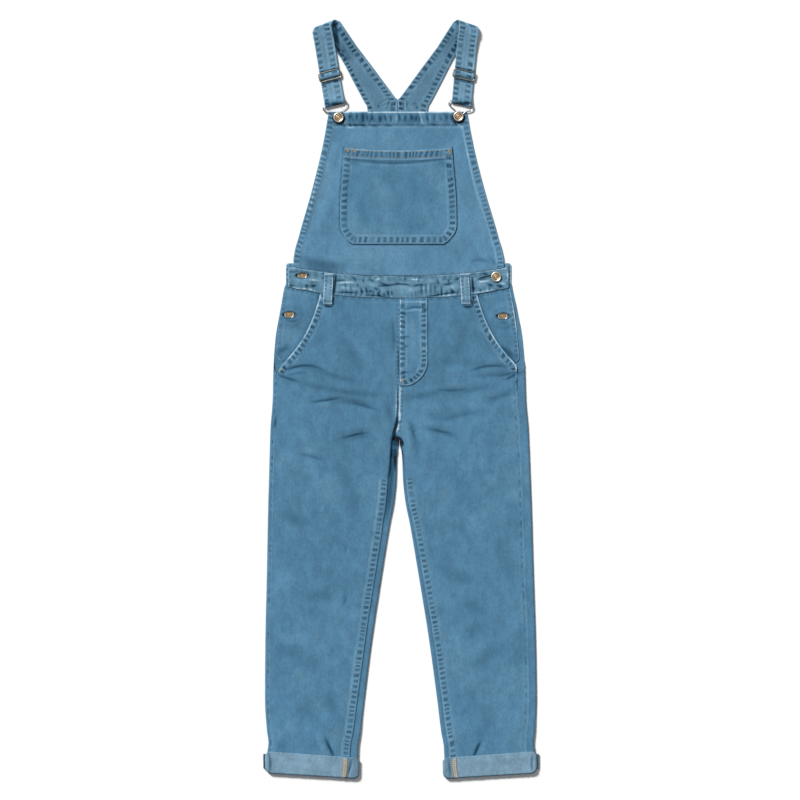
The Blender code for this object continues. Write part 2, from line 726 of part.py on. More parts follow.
class StrapWay:
    """Where a strap runs, on the wearer's left. The other side is mirrored when points are placed."""

    def __init__(self, side):
        way = STRAP_WAYS[side]
        self.sign = SIDES[side]
        self.base = Vector((way.base_x, way.base_y))
        self.back = Vector((way.back_x, way.fold_y))
        self.front = Vector((way.front_x, way.fold_y))
        self.bar = Vector((way.bar_x, way.bar_y))
        self.up = (self.back - self.base).normalized()
        self.down = (self.bar - self.front).normalized()
        self.fold = (self.up + self.down).normalized()  # along the fold, outward
        self.beyond = Vector((-self.fold.y, self.fold.x))  # square to the fold, away from the garment
        self.across_back = Vector((self.up.y, -self.up.x))
        self.across_front = Vector((-self.down.y, self.down.x))
        turn = math.radians(way.bar_turn)
        self.across_bar = Vector((math.cos(turn), -math.sin(turn)))

    def place(self, flat, z):
        """A point of the garment from a point of the plan on the wearer's left."""
        return (centre(flat.y) + self.sign * flat.x, flat.y, z)

    def folded(self, along, across):
        """A point of the back layer, carried over the fold where it lies beyond it."""
        flat = self.base + self.up * along + self.across_back * across
        offset = flat - self.back
        beyond = offset.dot(self.beyond)
        side = offset.dot(self.fold)
        radius = STRAP_FOLD_RADIUS
        turn = beyond / radius
        if turn <= 0.0:
            out, rise = beyond, 0.0
        elif turn < math.pi:
            out, rise = radius * math.sin(turn), radius * (1.0 - math.cos(turn))
        else:
            out, rise = math.pi * radius - beyond, 2.0 * radius
        drift = (self.front - self.back).dot(self.fold) * smooth(beyond, -4.0, math.pi * radius + 4.0)
        return self.place(self.back + self.fold * (side + drift) + self.beyond * out, STRAP + rise)

    def upper(self, up, across, z):
        """A point of the front layer, this far up from the buckle's bar."""
        turned = smooth(up, TURNED_BELOW[1], TURNED_BELOW[0])
        sideways = self.across_front.lerp(self.across_bar, turned).normalized()
        return self.place(self.bar - self.down * up + sideways * across, z)


def strap(side, look):
    """A strap: from the V up the back, over the shoulder, down through the slider and round the buckle's bar."""
    way = StrapWay(side)
    half = STRAP_WIDTH / 2
    seats = (-1.0, -0.35, 0.35, 1.0)
    rows = []
    for line in STRAP_BASE:
        inner = Vector((line.inner_x, line.inner_y))
        outer = Vector((line.outer_x, line.outer_y))
        rows.append([way.place(inner.lerp(outer, (1.0 + seat) / 2), STRAP) for seat in seats])
    fold_at = (way.back - way.base).length
    for along in spread(20.0, fold_at - 9.0, 3) + spread(fold_at - 6.0, fold_at + 15.0, 14):
        rows.append([way.folded(along, half * seat) for seat in seats])
    for up in (126, 108, 92, 78, 68, *STRAP_OVER_BAR, 32, 21, 13, 8, 4):
        level = through(STRAP_RISE, up)
        rows.append([way.upper(up, half * seat, level) for seat in seats])
    radius = STRAP_BAR_RADIUS
    for turn in spread(0.0, math.pi, 6):
        out = radius * math.sin(turn)
        level = STRAP + radius * (1.0 + math.cos(turn))
        rows.append([way.upper(-out, half * seat, level) for seat in seats])
    for up in (12, 24, 36, STRAP_RETURN):
        rows.append([way.upper(up, half * seat, STRAP) for seat in seats])
    if way.sign < 0:
        rows = [row[::-1] for row in rows]
    return cloth("strap_" + side, [row[::-1] for row in rows], look, STRAP)


def frame_at(way, up, level):
    """The place and turn of a metal fitting on the front layer."""
    turn = math.atan2(way.across_bar.y, way.across_bar.x) * way.sign
    return Vector(way.upper(up, 0.0, level)), turn


def rounded(half_x, half_y, radius, steps=4):
    """The corners of a rectangle with round corners, anticlockwise."""
    points = []
    for corner in range(4):
        x = (half_x - radius) * (1, -1, -1, 1)[corner]
        y = (half_y - radius) * (1, 1, -1, -1)[corner]
        for turn in spread(corner * math.pi / 2, (corner + 1) * math.pi / 2, steps):
            points.append((x + radius * math.cos(turn), y + radius * math.sin(turn)))
    return points


def curve_object(name, splines, place, turn, look, flat_half=None, wire=None):
    """A closed curve as a mesh object: a flat plate with holes, or a round wire."""
    curve = bpy.data.curves.new(name, "CURVE")
    curve.dimensions = "2D" if flat_half else "3D"
    for points in splines:
        line = curve.splines.new("POLY")
        line.points.add(len(points) - 1)
        for slot, (x, y) in zip(line.points, points):
            slot.co = (x * MM, y * MM, 0.0, 1.0)
        line.use_cyclic_u = True
    if flat_half:
        curve.fill_mode = "BOTH"
        curve.extrude = flat_half * MM
    else:
        curve.bevel_depth = wire * MM
        curve.bevel_resolution = 2
    made = bpy.data.objects.new(name, curve)
    curve.materials.append(look)
    bpy.data.collections[COLLECTION].objects.link(made)
    made.location = place * MM
    made.rotation_euler = (0.0, 0.0, turn)
    return made


def slider(side, look):
    """A strap slider: a flat frame with a bar across its middle, which the strap passes over."""
    way = StrapWay(side)
    place, turn = frame_at(way, SLIDER_UP, SLIDER_CENTRE)
    half_x, half_y = SLIDER_HALF
    slot_half_y = (half_y - SLIDER_RAIL - SLIDER_RAIL / 2) / 2
    shift = SLIDER_RAIL / 2 + slot_half_y
    slot = rounded(half_x - SLIDER_RAIL, slot_half_y, 0.6, 1)
    outlines = [rounded(half_x, half_y, 3.4)]
    outlines += [[(x, y + shift * way_up) for x, y in slot] for way_up in (1, -1)]
    return curve_object("slider_" + side, outlines, place, turn, look, flat_half=SLIDER_THICK / 2)


# Half of the buckle's outline, (out, down) from the middle of its bar to the bottom of the loop.
BUCKLE_HALF = (
    (8.0, 0.0), (17.5, 0.0), (20.5, 0.5), (22.3, 2.6), (22.4, 5.6), (20.5, 8.6), (16.0, 11.2), (11.0, 13.4),
    (8.0, 16.0), (6.3, 19.2), (5.6, 22.6), (5.0, 25.8), (2.9, 28.2),
)


def buckle(side, look):
    """A bent-wire buckle: its bar in the strap's end, its narrow loop round the stem of the bib's button."""
    way = StrapWay(side)
    place, turn = frame_at(way, 0.0, STRAP + STRAP_BAR_RADIUS)
    x, y = BIB_BUTTONS[side]
    reach = (Vector((centre(y) + way.sign * x, y)) - place.xy).length / 23.5
    outline = [(out, -down * reach) for out, down in BUCKLE_HALF]
    outline += [(0.0, -29.0 * reach)] + [(-x, y) for x, y in outline[::-1]]
    return curve_object("buckle_" + side, [outline], place, turn, look, wire=WIRE)


def button(name, middle, seat, stem_height, look, cap=BUTTON_CAP):
    """A turned metal button: a stem on the cloth and a cap with a rolled rim."""
    top = seat + stem_height + cap
    rim = BUTTON_RADIUS
    profile = [(0.0, top - 0.7), (4.6, top - 0.7), (6.0, top), (rim - 1.4, top), (rim, top - 0.9)]
    profile.append((rim - 0.4, top - cap + 0.2))
    if stem_height > 0:
        profile += [(rim - 1.6, top - cap), (BUTTON_STEM, top - cap), (BUTTON_STEM, seat)]
    else:
        profile.append((rim - 1.6, seat))
    profile.append((0.0, seat))
    mesh = bpy.data.meshes.new(name)
    shape = bmesh.new()
    corners = [shape.verts.new((radius * MM, 0.0, height * MM)) for radius, height in profile]
    for first, second in zip(corners, corners[1:]):
        shape.edges.new((first, second))
    shape.to_mesh(mesh)
    shape.free()
    made = add(name, mesh, look)
    made.location = (middle[0] * MM, middle[1] * MM, 0.0)
    turned = made.modifiers.new("Turned", "SCREW")
    turned.steps = BUTTON_SIDES
    turned.render_steps = BUTTON_SIDES
    turned.use_merge_vertices = True
    turned.merge_threshold = 0.00001
    return made


def buttons(side, look):
    """The three buttons of one side."""
    sign = SIDES[side]

    def at(places):
        x, y = places[side]
        return (centre(y) + sign * x, y)

    button("bib_button_" + side, at(BIB_BUTTONS), HEMMED + GAP, STRAP + STRAP_BAR_RADIUS + WIRE - HEMMED, look)
    button("hip_button_" + side, at(HIP_BUTTONS), CLOTH + GAP, 0.0, look, cap=BUTTON_SEAT)
    if side == "left":
        button("waist_button_left", at(WAIST_BUTTONS), STRAP + HEMMED + 2 * GAP, 0.8, look)
    else:
        button("waist_button_right", at(WAIST_BUTTONS), STRAP + GAP, 0.0, look, cap=BUTTON_SEAT)


def main():
    for old in list(bpy.data.objects):
        bpy.data.objects.remove(old, do_unlink=True)
    for name in (COLLECTION, CUTTERS):
        bpy.context.scene.collection.children.link(bpy.data.collections.new(name))

    denim = material("denim", (0.10, 0.23, 0.35), 0.85)
    denim_back = material("denim_wrong_side", (0.21, 0.33, 0.42), 0.88)
    copper = material("copper_button", (0.62, 0.42, 0.28), 0.35, 1.0)
    nickel = material("nickel_wire", (0.62, 0.62, 0.66), 0.25, 1.0)
    bronze = material("antique_bronze", (0.30, 0.27, 0.20), 0.4, 1.0)

    for side in SIDES:
        back_leg(side, denim)
        front_leg(side, denim)
        hip_facing(side, denim)
        cuff(side, "front", denim_back)
        cuff(side, "back", denim_back)
        belt_loop(side, denim)
        strap(side, denim)
        slider(side, bronze)
        buckle(side, nickel)
        buttons(side, copper)
    fly(denim)
    back_bib(denim)
    back_waistband(denim)
    front_waistband(denim)
    bib(denim)
    bib_pocket(denim)


main()
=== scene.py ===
"""The looks of the denim dungarees: washed cloth with its creases, puckered seams and sewing, and the metal.

Lengths are in millimetres until a mesh is made. X is towards the wearer's left, Y towards the shoulders, Z up
from the floor. Each piece of cloth is a fine grid on the same sections as its solid, with its own relief.
"""

import math
from collections import namedtuple

import bmesh
import bpy
import numpy as np
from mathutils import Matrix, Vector
from mathutils.bvhtree import BVHTree


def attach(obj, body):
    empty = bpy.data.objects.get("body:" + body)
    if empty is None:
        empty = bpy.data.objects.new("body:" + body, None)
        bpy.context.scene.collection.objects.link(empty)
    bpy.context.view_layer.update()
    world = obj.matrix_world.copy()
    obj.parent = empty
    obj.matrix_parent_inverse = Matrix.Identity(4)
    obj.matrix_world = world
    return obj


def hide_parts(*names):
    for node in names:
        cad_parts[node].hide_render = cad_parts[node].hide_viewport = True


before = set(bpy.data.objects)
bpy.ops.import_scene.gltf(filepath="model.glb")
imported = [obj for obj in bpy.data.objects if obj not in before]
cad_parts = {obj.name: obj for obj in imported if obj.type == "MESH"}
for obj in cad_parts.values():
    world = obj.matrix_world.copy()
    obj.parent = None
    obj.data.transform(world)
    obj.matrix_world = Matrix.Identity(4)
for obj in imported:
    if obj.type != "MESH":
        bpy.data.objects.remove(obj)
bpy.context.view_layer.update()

MM = 0.001
SIDES = {"left": 1, "right": -1}

# ---------------------------------------------------------------- the garment's sizes, as in its solids

CLOTH = 1.2
HEMMED = 2.2
STRAP = 1.6
GAP = 0.3
SPACE = 3.0
LIFT = HEMMED + GAP
LEAN = 0.005
CENTRE_AT = -668.0

CUFF_TOP_OUTER = -651.0
CUFF_TOP_INNER = -663.0
CUFF_END_OUTER = -692.0
CUFF_END_INNER = -702.3
CROTCH_FRONT = -58.0
CROTCH_BACK = -84.0
POCKET_END = 50.0
BAND_BOTTOM = 187.0
BAND_TOP = 228.0
BACK_BAND_BOTTOM = 211.5
BACK_BAND_TOP = 252.0
BIB_TOP = 532.0
CUFF_OUTER = 249.0
CUFF_INNER = 79.5
CUFF_FLARE = 3.6
BAND_HALF = 204.0
BACK_BAND_HALF = 208.5
BACK_BAND_CORNER = 6.0
BAND_BOTTOM_RISE = 20.0
BAND_TOP_RISE = 17.0
BAND_RISE_POWER = 2.4
BIB_SIDE_HEM = 13.0
BIB_TOP_HEM = 25.0
POCKET_HEM = 19.0
HEM_STEP = 1.5
LEG_END = (CUFF_END_OUTER + CUFF_END_INNER) / 2 + HEMMED + CLOTH / 2 + GAP

# A leg at each height: how far its outer and inner edges are from the centre line.
Leg = namedtuple("Leg", "height outer inner")
LEGS = tuple(Leg(*row) for row in (
    (252, 208.5, 0.15), (220, 209.0, 0.15), (165, 219.0, 0.15), (110, 228.5, 0.15), (54, 232.5, 0.15),
    (0, 234.0, 0.15), (-57, 238.5, 0.15), (-84, 239.5, 0.8), (-96, 240.0, 3.5), (-112, 240.5, 5.0),
    (-144, 241.5, 6.0), (-186, 243.0, 10.0), (-233, 244.3, 19.0), (-325, 246.5, 34.2), (-445, 249.8, 53.0),
    (-556, 251.0, 67.5), (-612, 248.0, 74.5), (-640, 245.0, 79.5), (-668, 248.4, 80.3), (-703, 248.7, 79.8),
))
# The strips of the back legs that show beyond the front panels.
Strip = namedtuple("Strip", "height left_outer left_inner right_outer right_inner")
STRIPS = tuple(Strip(*row) for row in (
    (60, 14.0, 3.0, 7.0, 16.0), (-70, 13.8, 3.0, 6.8, 16.0), (-105, 13.5, 3.2, 6.8, 11.0),
    (-150, 13.5, 3.6, 6.8, 14.5), (-270, 13.5, 5.6, 7.4, 10.8), (-445, 12.2, 7.0, 7.4, 10.8),
    (-700, 12.4, 7.4, 6.4, 14.0),
))
CENTRE_SEAM = ((-64, -8.0), (-40, -2.0), (30, 1.7), (186, 2.0))
POCKET_MOUTH = ((50, 224.0), (63, 217.0), (83, 199.5), (115, 174.5), (148, 157.5), (186, 145.5), (206, 142.0))
FACING_LAP = 13.0
FACING_INNER_MOST = 203.0
FACING_MARGIN = {"left": 9.0, "right": 3.6}
FACING_TOP_HALF = 236.0
FACING_LOW_HALF = 211.0
FACING_END = 64.0
FLY_WIDTH = 51.0
FLY_TURN = 72.0
FLY_END = 23.0
FLY_TIP = 25.0
BIB_EDGE = ((245, 194.5), (275, 190.8), (304, 183.5), (387, 159.5), (470, 139.0), (532, 127.5))
BACK_BIB_EDGE = ((252, 165.0), (310, 130.0), (370, 100.0), (430, 77.0), (490, 61.0), (514, 57.0))
POCKET_EDGE = ((287, 84.0), (291, 90.0), (299, 98.0), (309, 105.0), (322, 108.0), (345, 108.0), (465, 100.0))
POCKET_TOP = 465.0
POCKET_BOTTOM = 287.0
POCKET_TOP_SAG = 5.0

# The strap's wide base on the back bib: lines from its inner to its outer edge.
Line = namedtuple("Line", "inner_x inner_y outer_x outer_y")
STRAP_BASE = tuple(Line(*row) for row in (
    (0.15, 514.3, 57.0, 514.3), (0.15, 532.0, 55.5, 524.0), (0.15, 552.5, 57.0, 541.0),
    (5.5, 559.5, 61.5, 549.0),
    (22.5, 582.5, 73.5, 571.5), (42.0, 609.0, 84.7, 593.0), (61.3, 634.8, 94.8, 612.9),
))
STRAP_WIDTH = 37.0
STRAP_FOLD_RADIUS = 2.5
STRAP_BAR_RADIUS = 2.1
Way = namedtuple("Way", "base_x base_y back_x front_x fold_y bar_x bar_y bar_turn")
STRAP_WAYS = {
    "left": Way(78.3, 624.2, 123.0, 132.6, 693.8, 118.0, 547.5, 12.5),
    "right": Way(78.3, 624.2, 125.0, 140.5, 694.1, 116.8, 546.5, 14.5),
}
STRAP_RISE = (
    (3, 5.8), (8, 4.2), (14, 2.7), (22, 2.0), (42, 1.9), (46.4, 1.95), (48.2, 2.6), (50, 4.4), (51.4, 5.5),
    (53, 5.8), (54.6, 5.5), (56, 4.4), (57.8, 2.6), (59.6, 1.95), (64, 1.9), (74, 1.9), (92, 2.1), (120, 5.0),
    (142, 6.6),
)
STRAP_RETURN = 50.0
SLIDER_UP = 53.0
TURNED_BELOW = (70.0, 105.0)

WIRE = 1.2
SLIDER_HALF = (21.4, 9.5)
SLIDER_CENTRE = 4.6
BUTTON_RADIUS = 9.5
BUTTON_CAP = 2.5
BUTTON_STEM = 3.0
BIB_BUTTONS = {"left": (112.2, 523.2), "right": (109.5, 521.2)}
WAIST_BUTTONS = {"left": (180.5, 226.5), "right": (178.0, 229.0)}
HIP_BUTTONS = {"left": (192.5, 154.0), "right": (202.5, 156.5)}
BUTTON_SEAT = 1.5
BUTTON_SWELL = (18.0, 7.0)
HIP_BUTTONHOLE = (13.0, 5.5)
WAIST_BUTTONHOLE = (13.0, 4.8)
WAIST_SLIT = (12.5, 1.6)
WAIST_SLIT_AT = (160.0, 225.5)
WAIST_SLIT_TURN = math.radians(14)
LENS_POINT = 0.35
LOOP_X = {"left": 124.5, "right": 131.5}
LOOP_WIDTH = 16.5
LOOP_TOP = 232.0
LOOP_BOTTOM = 175.5
LOOP_THICK = 1.6
BUCKLE_HALF = (
    (8.0, 0.0), (17.5, 0.0), (20.5, 0.5), (22.3, 2.6), (22.4, 5.6), (20.5, 8.6), (16.0, 11.2), (11.0, 13.4),
    (8.0, 16.0), (6.3, 19.2), (5.6, 22.6), (5.0, 25.8), (2.9, 28.2),
)

# Folds across the front, as in the solids: a line from (x0, y0) to (x1, y1), bowed to its left by bow, with a
# half-width and a height, below 0 for a trough.
Fold = namedtuple("Fold", "x0 y0 x1 y1 bow width height")
FOLDS = tuple(Fold(*row) for row in (
    (-216, 58, -140, 61, 4, 9, -1.1), (-222, 44, -168, 29, 3, 9, -0.9), (-206, 48, -140, 45, 4, 9, 0.8),
    (-164, -6, -42, -22, 10, 9, -1.2), (-156, 8, -52, -4, 9, 11, 0.9), (-110, -74, -54, -62, 3, 9, -1.1),
    (-104, -60, -50, -49, 3, 9, 0.7), (-192, -99, -140, -113, -3, 10, -1.0), (48, 60, 166, 60, 3, 9, -1.0),
    (60, 74, 150, 74, 3, 10, 0.7), (80, 14, 163, 25, 4, 9, -0.9), (20, -31, 130, -20, -4, 9, -1.1),
    (30, -18, 120, -8, -4, 10, 0.8), (34, -49, 100, -67, 3, 9, -0.9), (18, -52, 32, -136, 8, 8, -0.9),
    (30, -60, 45, -140, 8, 10, 0.8), (-244, -279, -206, -310, 3, 11, 0.8),
    (-184, -374, -114, -361, 4, 12, -0.8),
    (-244, -470, -138, -494, 8, 13, -0.9), (-230, -452, -140, -474, 8, 13, 0.8),
    (-195, -583, -137, -581, 5, 12, -0.8), (130, -378, 160, -422, 4, 12, -0.8),
    (150, -490, 196, -462, 4, 12, -0.8),
    (140, -476, 184, -448, 4, 12, 0.7), (120, -566, 180, -572, 4, 12, 0.7),
))

# ---------------------------------------------------------------- sizes of the finish

ROW = 2.1  # between the rows of a grid along a seam
LEG_COLUMN = 4.2  # between the columns of a leg, away from its seams
FINE = (0, 0.7, 1.4, 2.2, 3.0, 4.0, 5.2, 6.6, 8.0, 9.0, 10.0, 11.2, 13.0, 15.5, 19.0)  # columns beside a seam
ROUND = 0.32  # the part of a wall's thickness that rounds its edge
STITCH_PITCH = 3.4
STITCH_RADIUS = 0.36

# Creases, wrinkles and stains that are placed one by one. Their lines are drawn on a plan whose unit is PLAN
# millimetres, X to the wearer's left and Y downward, with the garment's centre at PLAN_CENTRE. Each group has
# a half-width and a depth in millimetres, below 0 for a trough, and a tone, below 0 for darker.
# A dark tone in a trough, in a hollow or beside a raised part is painted shade, and a light tone on a ridge
# is painted highlight.
PLAN = 1.85
PLAN_CENTRE = (401.0, 399.25)
Marks = namedtuple("Marks", "width depth tone lines")

LEG_MARKS = (
    Marks(2.3, -0.7, -1.0, (  # sharp creases
        (283, 371.5, 294, 367.3, 304, 365.6, 314, 366.4, 325, 370.5),
        (277, 374.5, 287, 378.2, 298, 381.6),
        (311, 402, 322, 400.8, 332, 399.3, 341, 397.4),
        (341, 438.8, 350, 436, 358, 434, 369, 432.6),
        (470, 371, 487, 366.2, 508, 366.5),
        (505, 380, 511, 377, 518, 372.5),
    )),
    Marks(2.0, -0.5, -0.6, (  # the same, fainter
        (300, 454, 311, 456.5, 323, 460),
        (437, 389.5, 452, 390.5, 466, 389),
        (515, 383, 519, 379.5),
        (410, 421.5, 412.5, 430, 415, 438),
        (428, 429, 438, 430.6, 453, 434),
        (352, 403, 368, 407, 380, 411),
        (498, 376, 508, 374.5, 516, 371.5),
        (290, 375.5, 298, 373, 306, 372.5),
        (344, 593, 345, 600, 343, 606),
        (344.5, 545, 346, 549, 345.5, 552),
        (392, 318, 394, 336, 393.5, 352),
    )),
    Marks(5.5, -0.4, -0.46, (  # their soft shadows
        (284, 369, 304, 368.5, 322, 372, 340, 378, 360, 381),
        (290, 379.5, 315, 386.5, 340, 391, 368, 394.5, 386, 396),
        (330, 401.5, 352, 402, 372, 406.5),
        (345, 441, 358, 437, 372, 436.5),
        (474, 377, 497, 374.5, 512, 372),
        (440, 391, 466, 391, 495, 384.5),
        (411, 421, 414.5, 438, 419, 455),
        (430, 417.5, 445, 418.6, 463, 414.5, 482, 411.6),
        (425, 428, 440, 432, 456, 437),
        (405, 398, 422, 396, 440, 392),
        (486, 401, 502, 396, 514, 390),
        (386, 404, 391, 418, 393, 430),
    )),
    Marks(11.0, -0.4, -0.3, (  # broad ones down the legs
        (268, 646, 284, 651, 297, 659, 322, 668),
        (298, 709, 308, 713, 320, 722),
        (303, 601, 318, 598, 333, 596),
        (310, 606, 318, 614, 324, 622),
        (463, 604, 474, 607, 484, 614),
        (466, 635, 478, 630, 490, 624),
        (478, 667, 490, 657, 506, 650),
        (479, 742, 485, 729, 492, 716),
        (340, 470, 352, 492, 356, 520),
        (283, 508, 296, 520, 318, 526),
        (452, 470, 462, 492, 474, 508),
        (497, 540, 506, 560, 510, 580),
        (438, 560, 452, 574, 470, 580),
        (345, 335, 352, 352, 366, 372),
        (465, 330, 458, 350, 440, 366),
        (325, 690, 332, 706, 334, 724),
    )),
    Marks(5.0, 0.35, 0.08, (  # ridges beside them
        (286, 374, 304, 370.2, 321, 374.5, 338, 381),
        (294, 388, 302, 392, 312, 397),
        (312, 406, 330, 404, 346, 401.5),
        (345, 430, 360, 427.4, 376, 427),
        (470, 362.5, 488, 360, 506, 360.5),
        (440, 384, 458, 385, 482, 379.5),
        (300, 449, 312, 451, 326, 455),
        (406, 424, 408, 438, 411, 452),
        (426, 424, 440, 424.5, 458, 427),
        (346, 330, 352, 339, 360, 350, 368, 361),
        (410, 387, 420, 391, 432, 386),
    )),
    Marks(12.0, 0.3, 0.05, (
        (271, 634, 292, 639, 309, 647, 320, 660),
        (278, 718, 288, 726, 296, 738),
        (272, 552, 280, 559, 290, 567),
        (474, 576, 484, 589, 494, 602),
        (496, 661, 509, 656, 522, 657),
        (446, 640, 454, 660, 462, 690),
        (292, 405, 300, 424, 302, 446),
        (320, 480, 326, 505, 324, 536),
        (430, 450, 440, 480, 446, 520),
        (500, 420, 506, 450, 508, 490),
        (455, 405, 476, 403, 500, 408),
        (306, 575, 314, 585, 330, 588),
        (326, 333, 330, 348, 330, 362),
    )),
    Marks(2.6, -0.9, -1.5, (  # pleats above the turn-ups and the fold in the side seam
        (325.5, 738, 329.4, 747, 334.6, 758),
        (480.5, 741, 477, 748.5, 473, 758),
    )),
    Marks(1.7, -0.5, -1.5, (
        (518.6, 369, 519.3, 377, 517.6, 381, 518.4, 388, 520.3, 396, 522.2, 407, 522.6, 425),
        (274.6, 374, 275.6, 379, 276.6, 384),
    )),
    Marks(4.5, 0.5, 0.1, (
        (318, 736, 323, 747, 329, 759),
        (486.5, 740, 484, 748, 481, 757),
        (512, 384, 514, 394, 517, 404),
    )),
    Marks(2.2, -0.4, -1.1, (
        (275, 417, 275.3, 424, 275.8, 428),
    )),
    # painted shadows of the belt loops on the legs, beside and below each loop
    Marks(1.5, -0.3, -2.4, (
        (324, 305.4, 328, 306.6, 332.6, 306.4), (463, 306.2, 468, 307.2, 472.6, 306.4),
        (473, 296, 472.8, 306),
        (333.4, 296, 333.2, 305.6),
    )),
    # the centre seam's groove, darkened with painted shade, and its two light edges
    Marks(1.3, -0.4, -1.2,
          ((397.9, 384, 397.9, 400, 397.7, 412, 396.2, 421, 393.6, 430), (398.5, 347, 398.6, 378))),
    Marks(1.2, 0.3, 0.85,
          ((396.4, 386, 396.3, 402, 395.9, 412, 394.6, 420),
           (399.7, 386, 399.7, 404, 399.3, 416, 397.4, 426))),
)

# Creases on the back, which lies on the floor.
BACK_MARKS = (
    Marks(12.0, 0.5, 0.12, (
        (298, 445, 330, 438, 368, 437), (293, 459, 330, 462, 358, 464), (320, 367, 350, 368, 380, 378),
        (287, 577, 310, 584, 341, 594), (282, 653, 305, 650, 331, 642), (298, 723, 318, 716, 336, 718),
        (422, 437, 460, 440, 504, 448), (433, 464, 465, 462, 498, 458), (428, 383, 455, 372, 482, 371),
        (455, 583, 480, 588, 509, 599), (466, 648, 490, 640, 514, 637), (460, 718, 480, 722, 504, 727),
    )),
    Marks(3.0, -0.4, -0.7, (
        (300, 441, 322, 436, 350, 435), (290, 582, 308, 590, 328, 600), (430, 459, 458, 457, 480, 452),
        (462, 589, 484, 595, 500, 606), (300, 640, 312, 634, 330, 633), (470, 706, 486, 712, 500, 713),
    )),
)

FACING_MARKS = (
    Marks(5.0, -0.3, -0.75, ((277, 353, 283, 350, 289, 347), (500, 347, 508, 352, 514, 358))),
    Marks(1.5, 0.2, 0.55, ((278, 355.6, 281, 364), (521, 357, 517.5, 363.5))),
    Marks(2.2, -0.3, -0.7, (
        (285, 319, 293, 321.5, 299, 318.5), (317, 296, 320, 301), (500, 322, 507, 323.5),
        (477, 292, 484, 301),
    )),
    Marks(1.6, 0.3, 0.6, ((512.5, 303, 515, 317, 518.4, 335),)),
    Marks(9.0, 0.2, 0.05, ((284, 325, 290, 338), (494, 306, 502, 312, 508, 330))),
)

FLY_MARKS = (
    Marks(1.9, -0.5, -1.0, ((405, 309.5, 413, 307.3, 421, 307.6, 430, 310.4),)),
    Marks(1.6, -0.4, -0.95, (
        (401.5, 347, 408, 346.4), (401.5, 373, 409, 372), (402, 336.7, 409, 337.2), (402, 376, 406, 377),
        (401.5, 313.8, 407, 314.6), (402, 323.2, 406, 323),
    )),
    Marks(1.6, 0.3, 0.5,
          ((420, 350.4, 429, 351), (403, 302.6, 416, 301.8, 428, 303), (404, 311.5, 418, 310, 429, 313))),
    Marks(6.0, 0.3, 0.16, ((412, 318, 413, 334, 412, 352),)),
    Marks(4.0, -0.3, -0.4, ((404, 380, 412, 379, 420, 372), (423, 306, 427, 314))),
)

BIB_MARKS = (
    Marks(7.5, -0.5, -0.6, ((300, 259, 318, 263, 346, 267), (303, 266, 322, 270, 340, 272))),
    Marks(3.0, -0.4, -0.5, ((488, 256, 494, 262, 500, 270), (470, 262, 480, 260, 492, 263))),
    Marks(3.0, 0.3, 0.16, ((376.5, 265.5, 377.3, 271),)),
    Marks(6.0, 0.3, 0.08, ((484, 255, 490, 259, 498, 268), (306, 253, 322, 257, 344, 262))),
    Marks(14.0, 0.35, 0.08, (
        (384, 132, 392, 138, 404, 142), (330, 150, 327, 180, 322, 215), (470, 160, 476, 190, 486, 225),
        (340, 252, 370, 256, 420, 254), (366, 130, 356, 140, 350, 146),
    )),
    Marks(14.0, -0.35, -0.14, (
        (336, 185, 333, 205, 330, 230), (468, 150, 470, 180, 474, 205), (420, 134, 430, 142, 448, 144),
        (330, 128, 340, 134, 352, 136), (430, 250, 450, 252, 478, 246),
    )),
    Marks(2.3, -0.4, -0.8, (  # painted shadow round a button and under the hem
        (345.5, 119, 347, 123, 343, 127), (348.5, 123.5, 352, 126.5), (354, 124.8, 358, 126),
        (361, 125.4, 367, 126.4), (371, 125.6, 378, 126.6), (385, 125.4, 392, 126), (420.5, 124.5, 424, 127),
        (452, 121, 455, 123.5, 461, 123), (430, 124, 437, 125.4), (349, 114, 350, 119),
    )),
    Marks(6.0, -0.2, -0.4,
          ((361, 117, 376, 119.5, 394, 117), (402, 120, 416, 118.5, 430, 120.5), (447, 116, 461, 118.5))),
    Marks(1.5, -0.5, -0.75, (  # wrinkles down the top hem
        (352.5, 115, 353.2, 122), (357, 114.5, 356.4, 121), (362.6, 114, 363.6, 122),
        (367.6, 115, 367.2, 122.5),
        (372, 114.5, 373, 121.5), (379.5, 115, 380.3, 122), (384, 114, 386.4, 121.5), (390.6, 115, 391, 122),
        (399.4, 114.5, 400, 121.5), (405.6, 115, 404.8, 122), (411, 114, 412.4, 120),
        (416.5, 115.5, 416, 122),
        (426.4, 115, 427.6, 122), (434.6, 114.5, 434, 121), (440, 116, 441.6, 122),
        (446.4, 114.5, 446.8, 120),
        (451, 115, 452, 121),
    )),
    Marks(1.4, 0.5, 0.45, (
        (354.8, 115, 355, 122), (360, 114.5, 360.4, 122), (365.4, 115, 365.6, 121.5),
        (376.4, 114.5, 377, 122),
        (388, 115, 388.8, 122), (402.4, 114.5, 402.2, 121), (408.2, 115, 408.6, 122),
        (437.4, 115, 437.6, 122),
        (443.6, 114.5, 444, 121),
    )),
    Marks(1.5, 0.3, 0.8, (
        (343.5, 121.5, 347.5, 125, 349.5, 122), (347, 127.4, 354, 128), (421, 114, 421.5, 120, 423, 126),
        (430, 114.5, 430.5, 124), (455.5, 124.5, 462, 126), (396, 114.5, 397, 123),
    )),
    Marks(1.6, 0.3, 0.5,
          ((463, 127, 467, 150, 473, 180, 480, 208), (328, 128, 321, 160, 312, 200, 303, 236))),
)

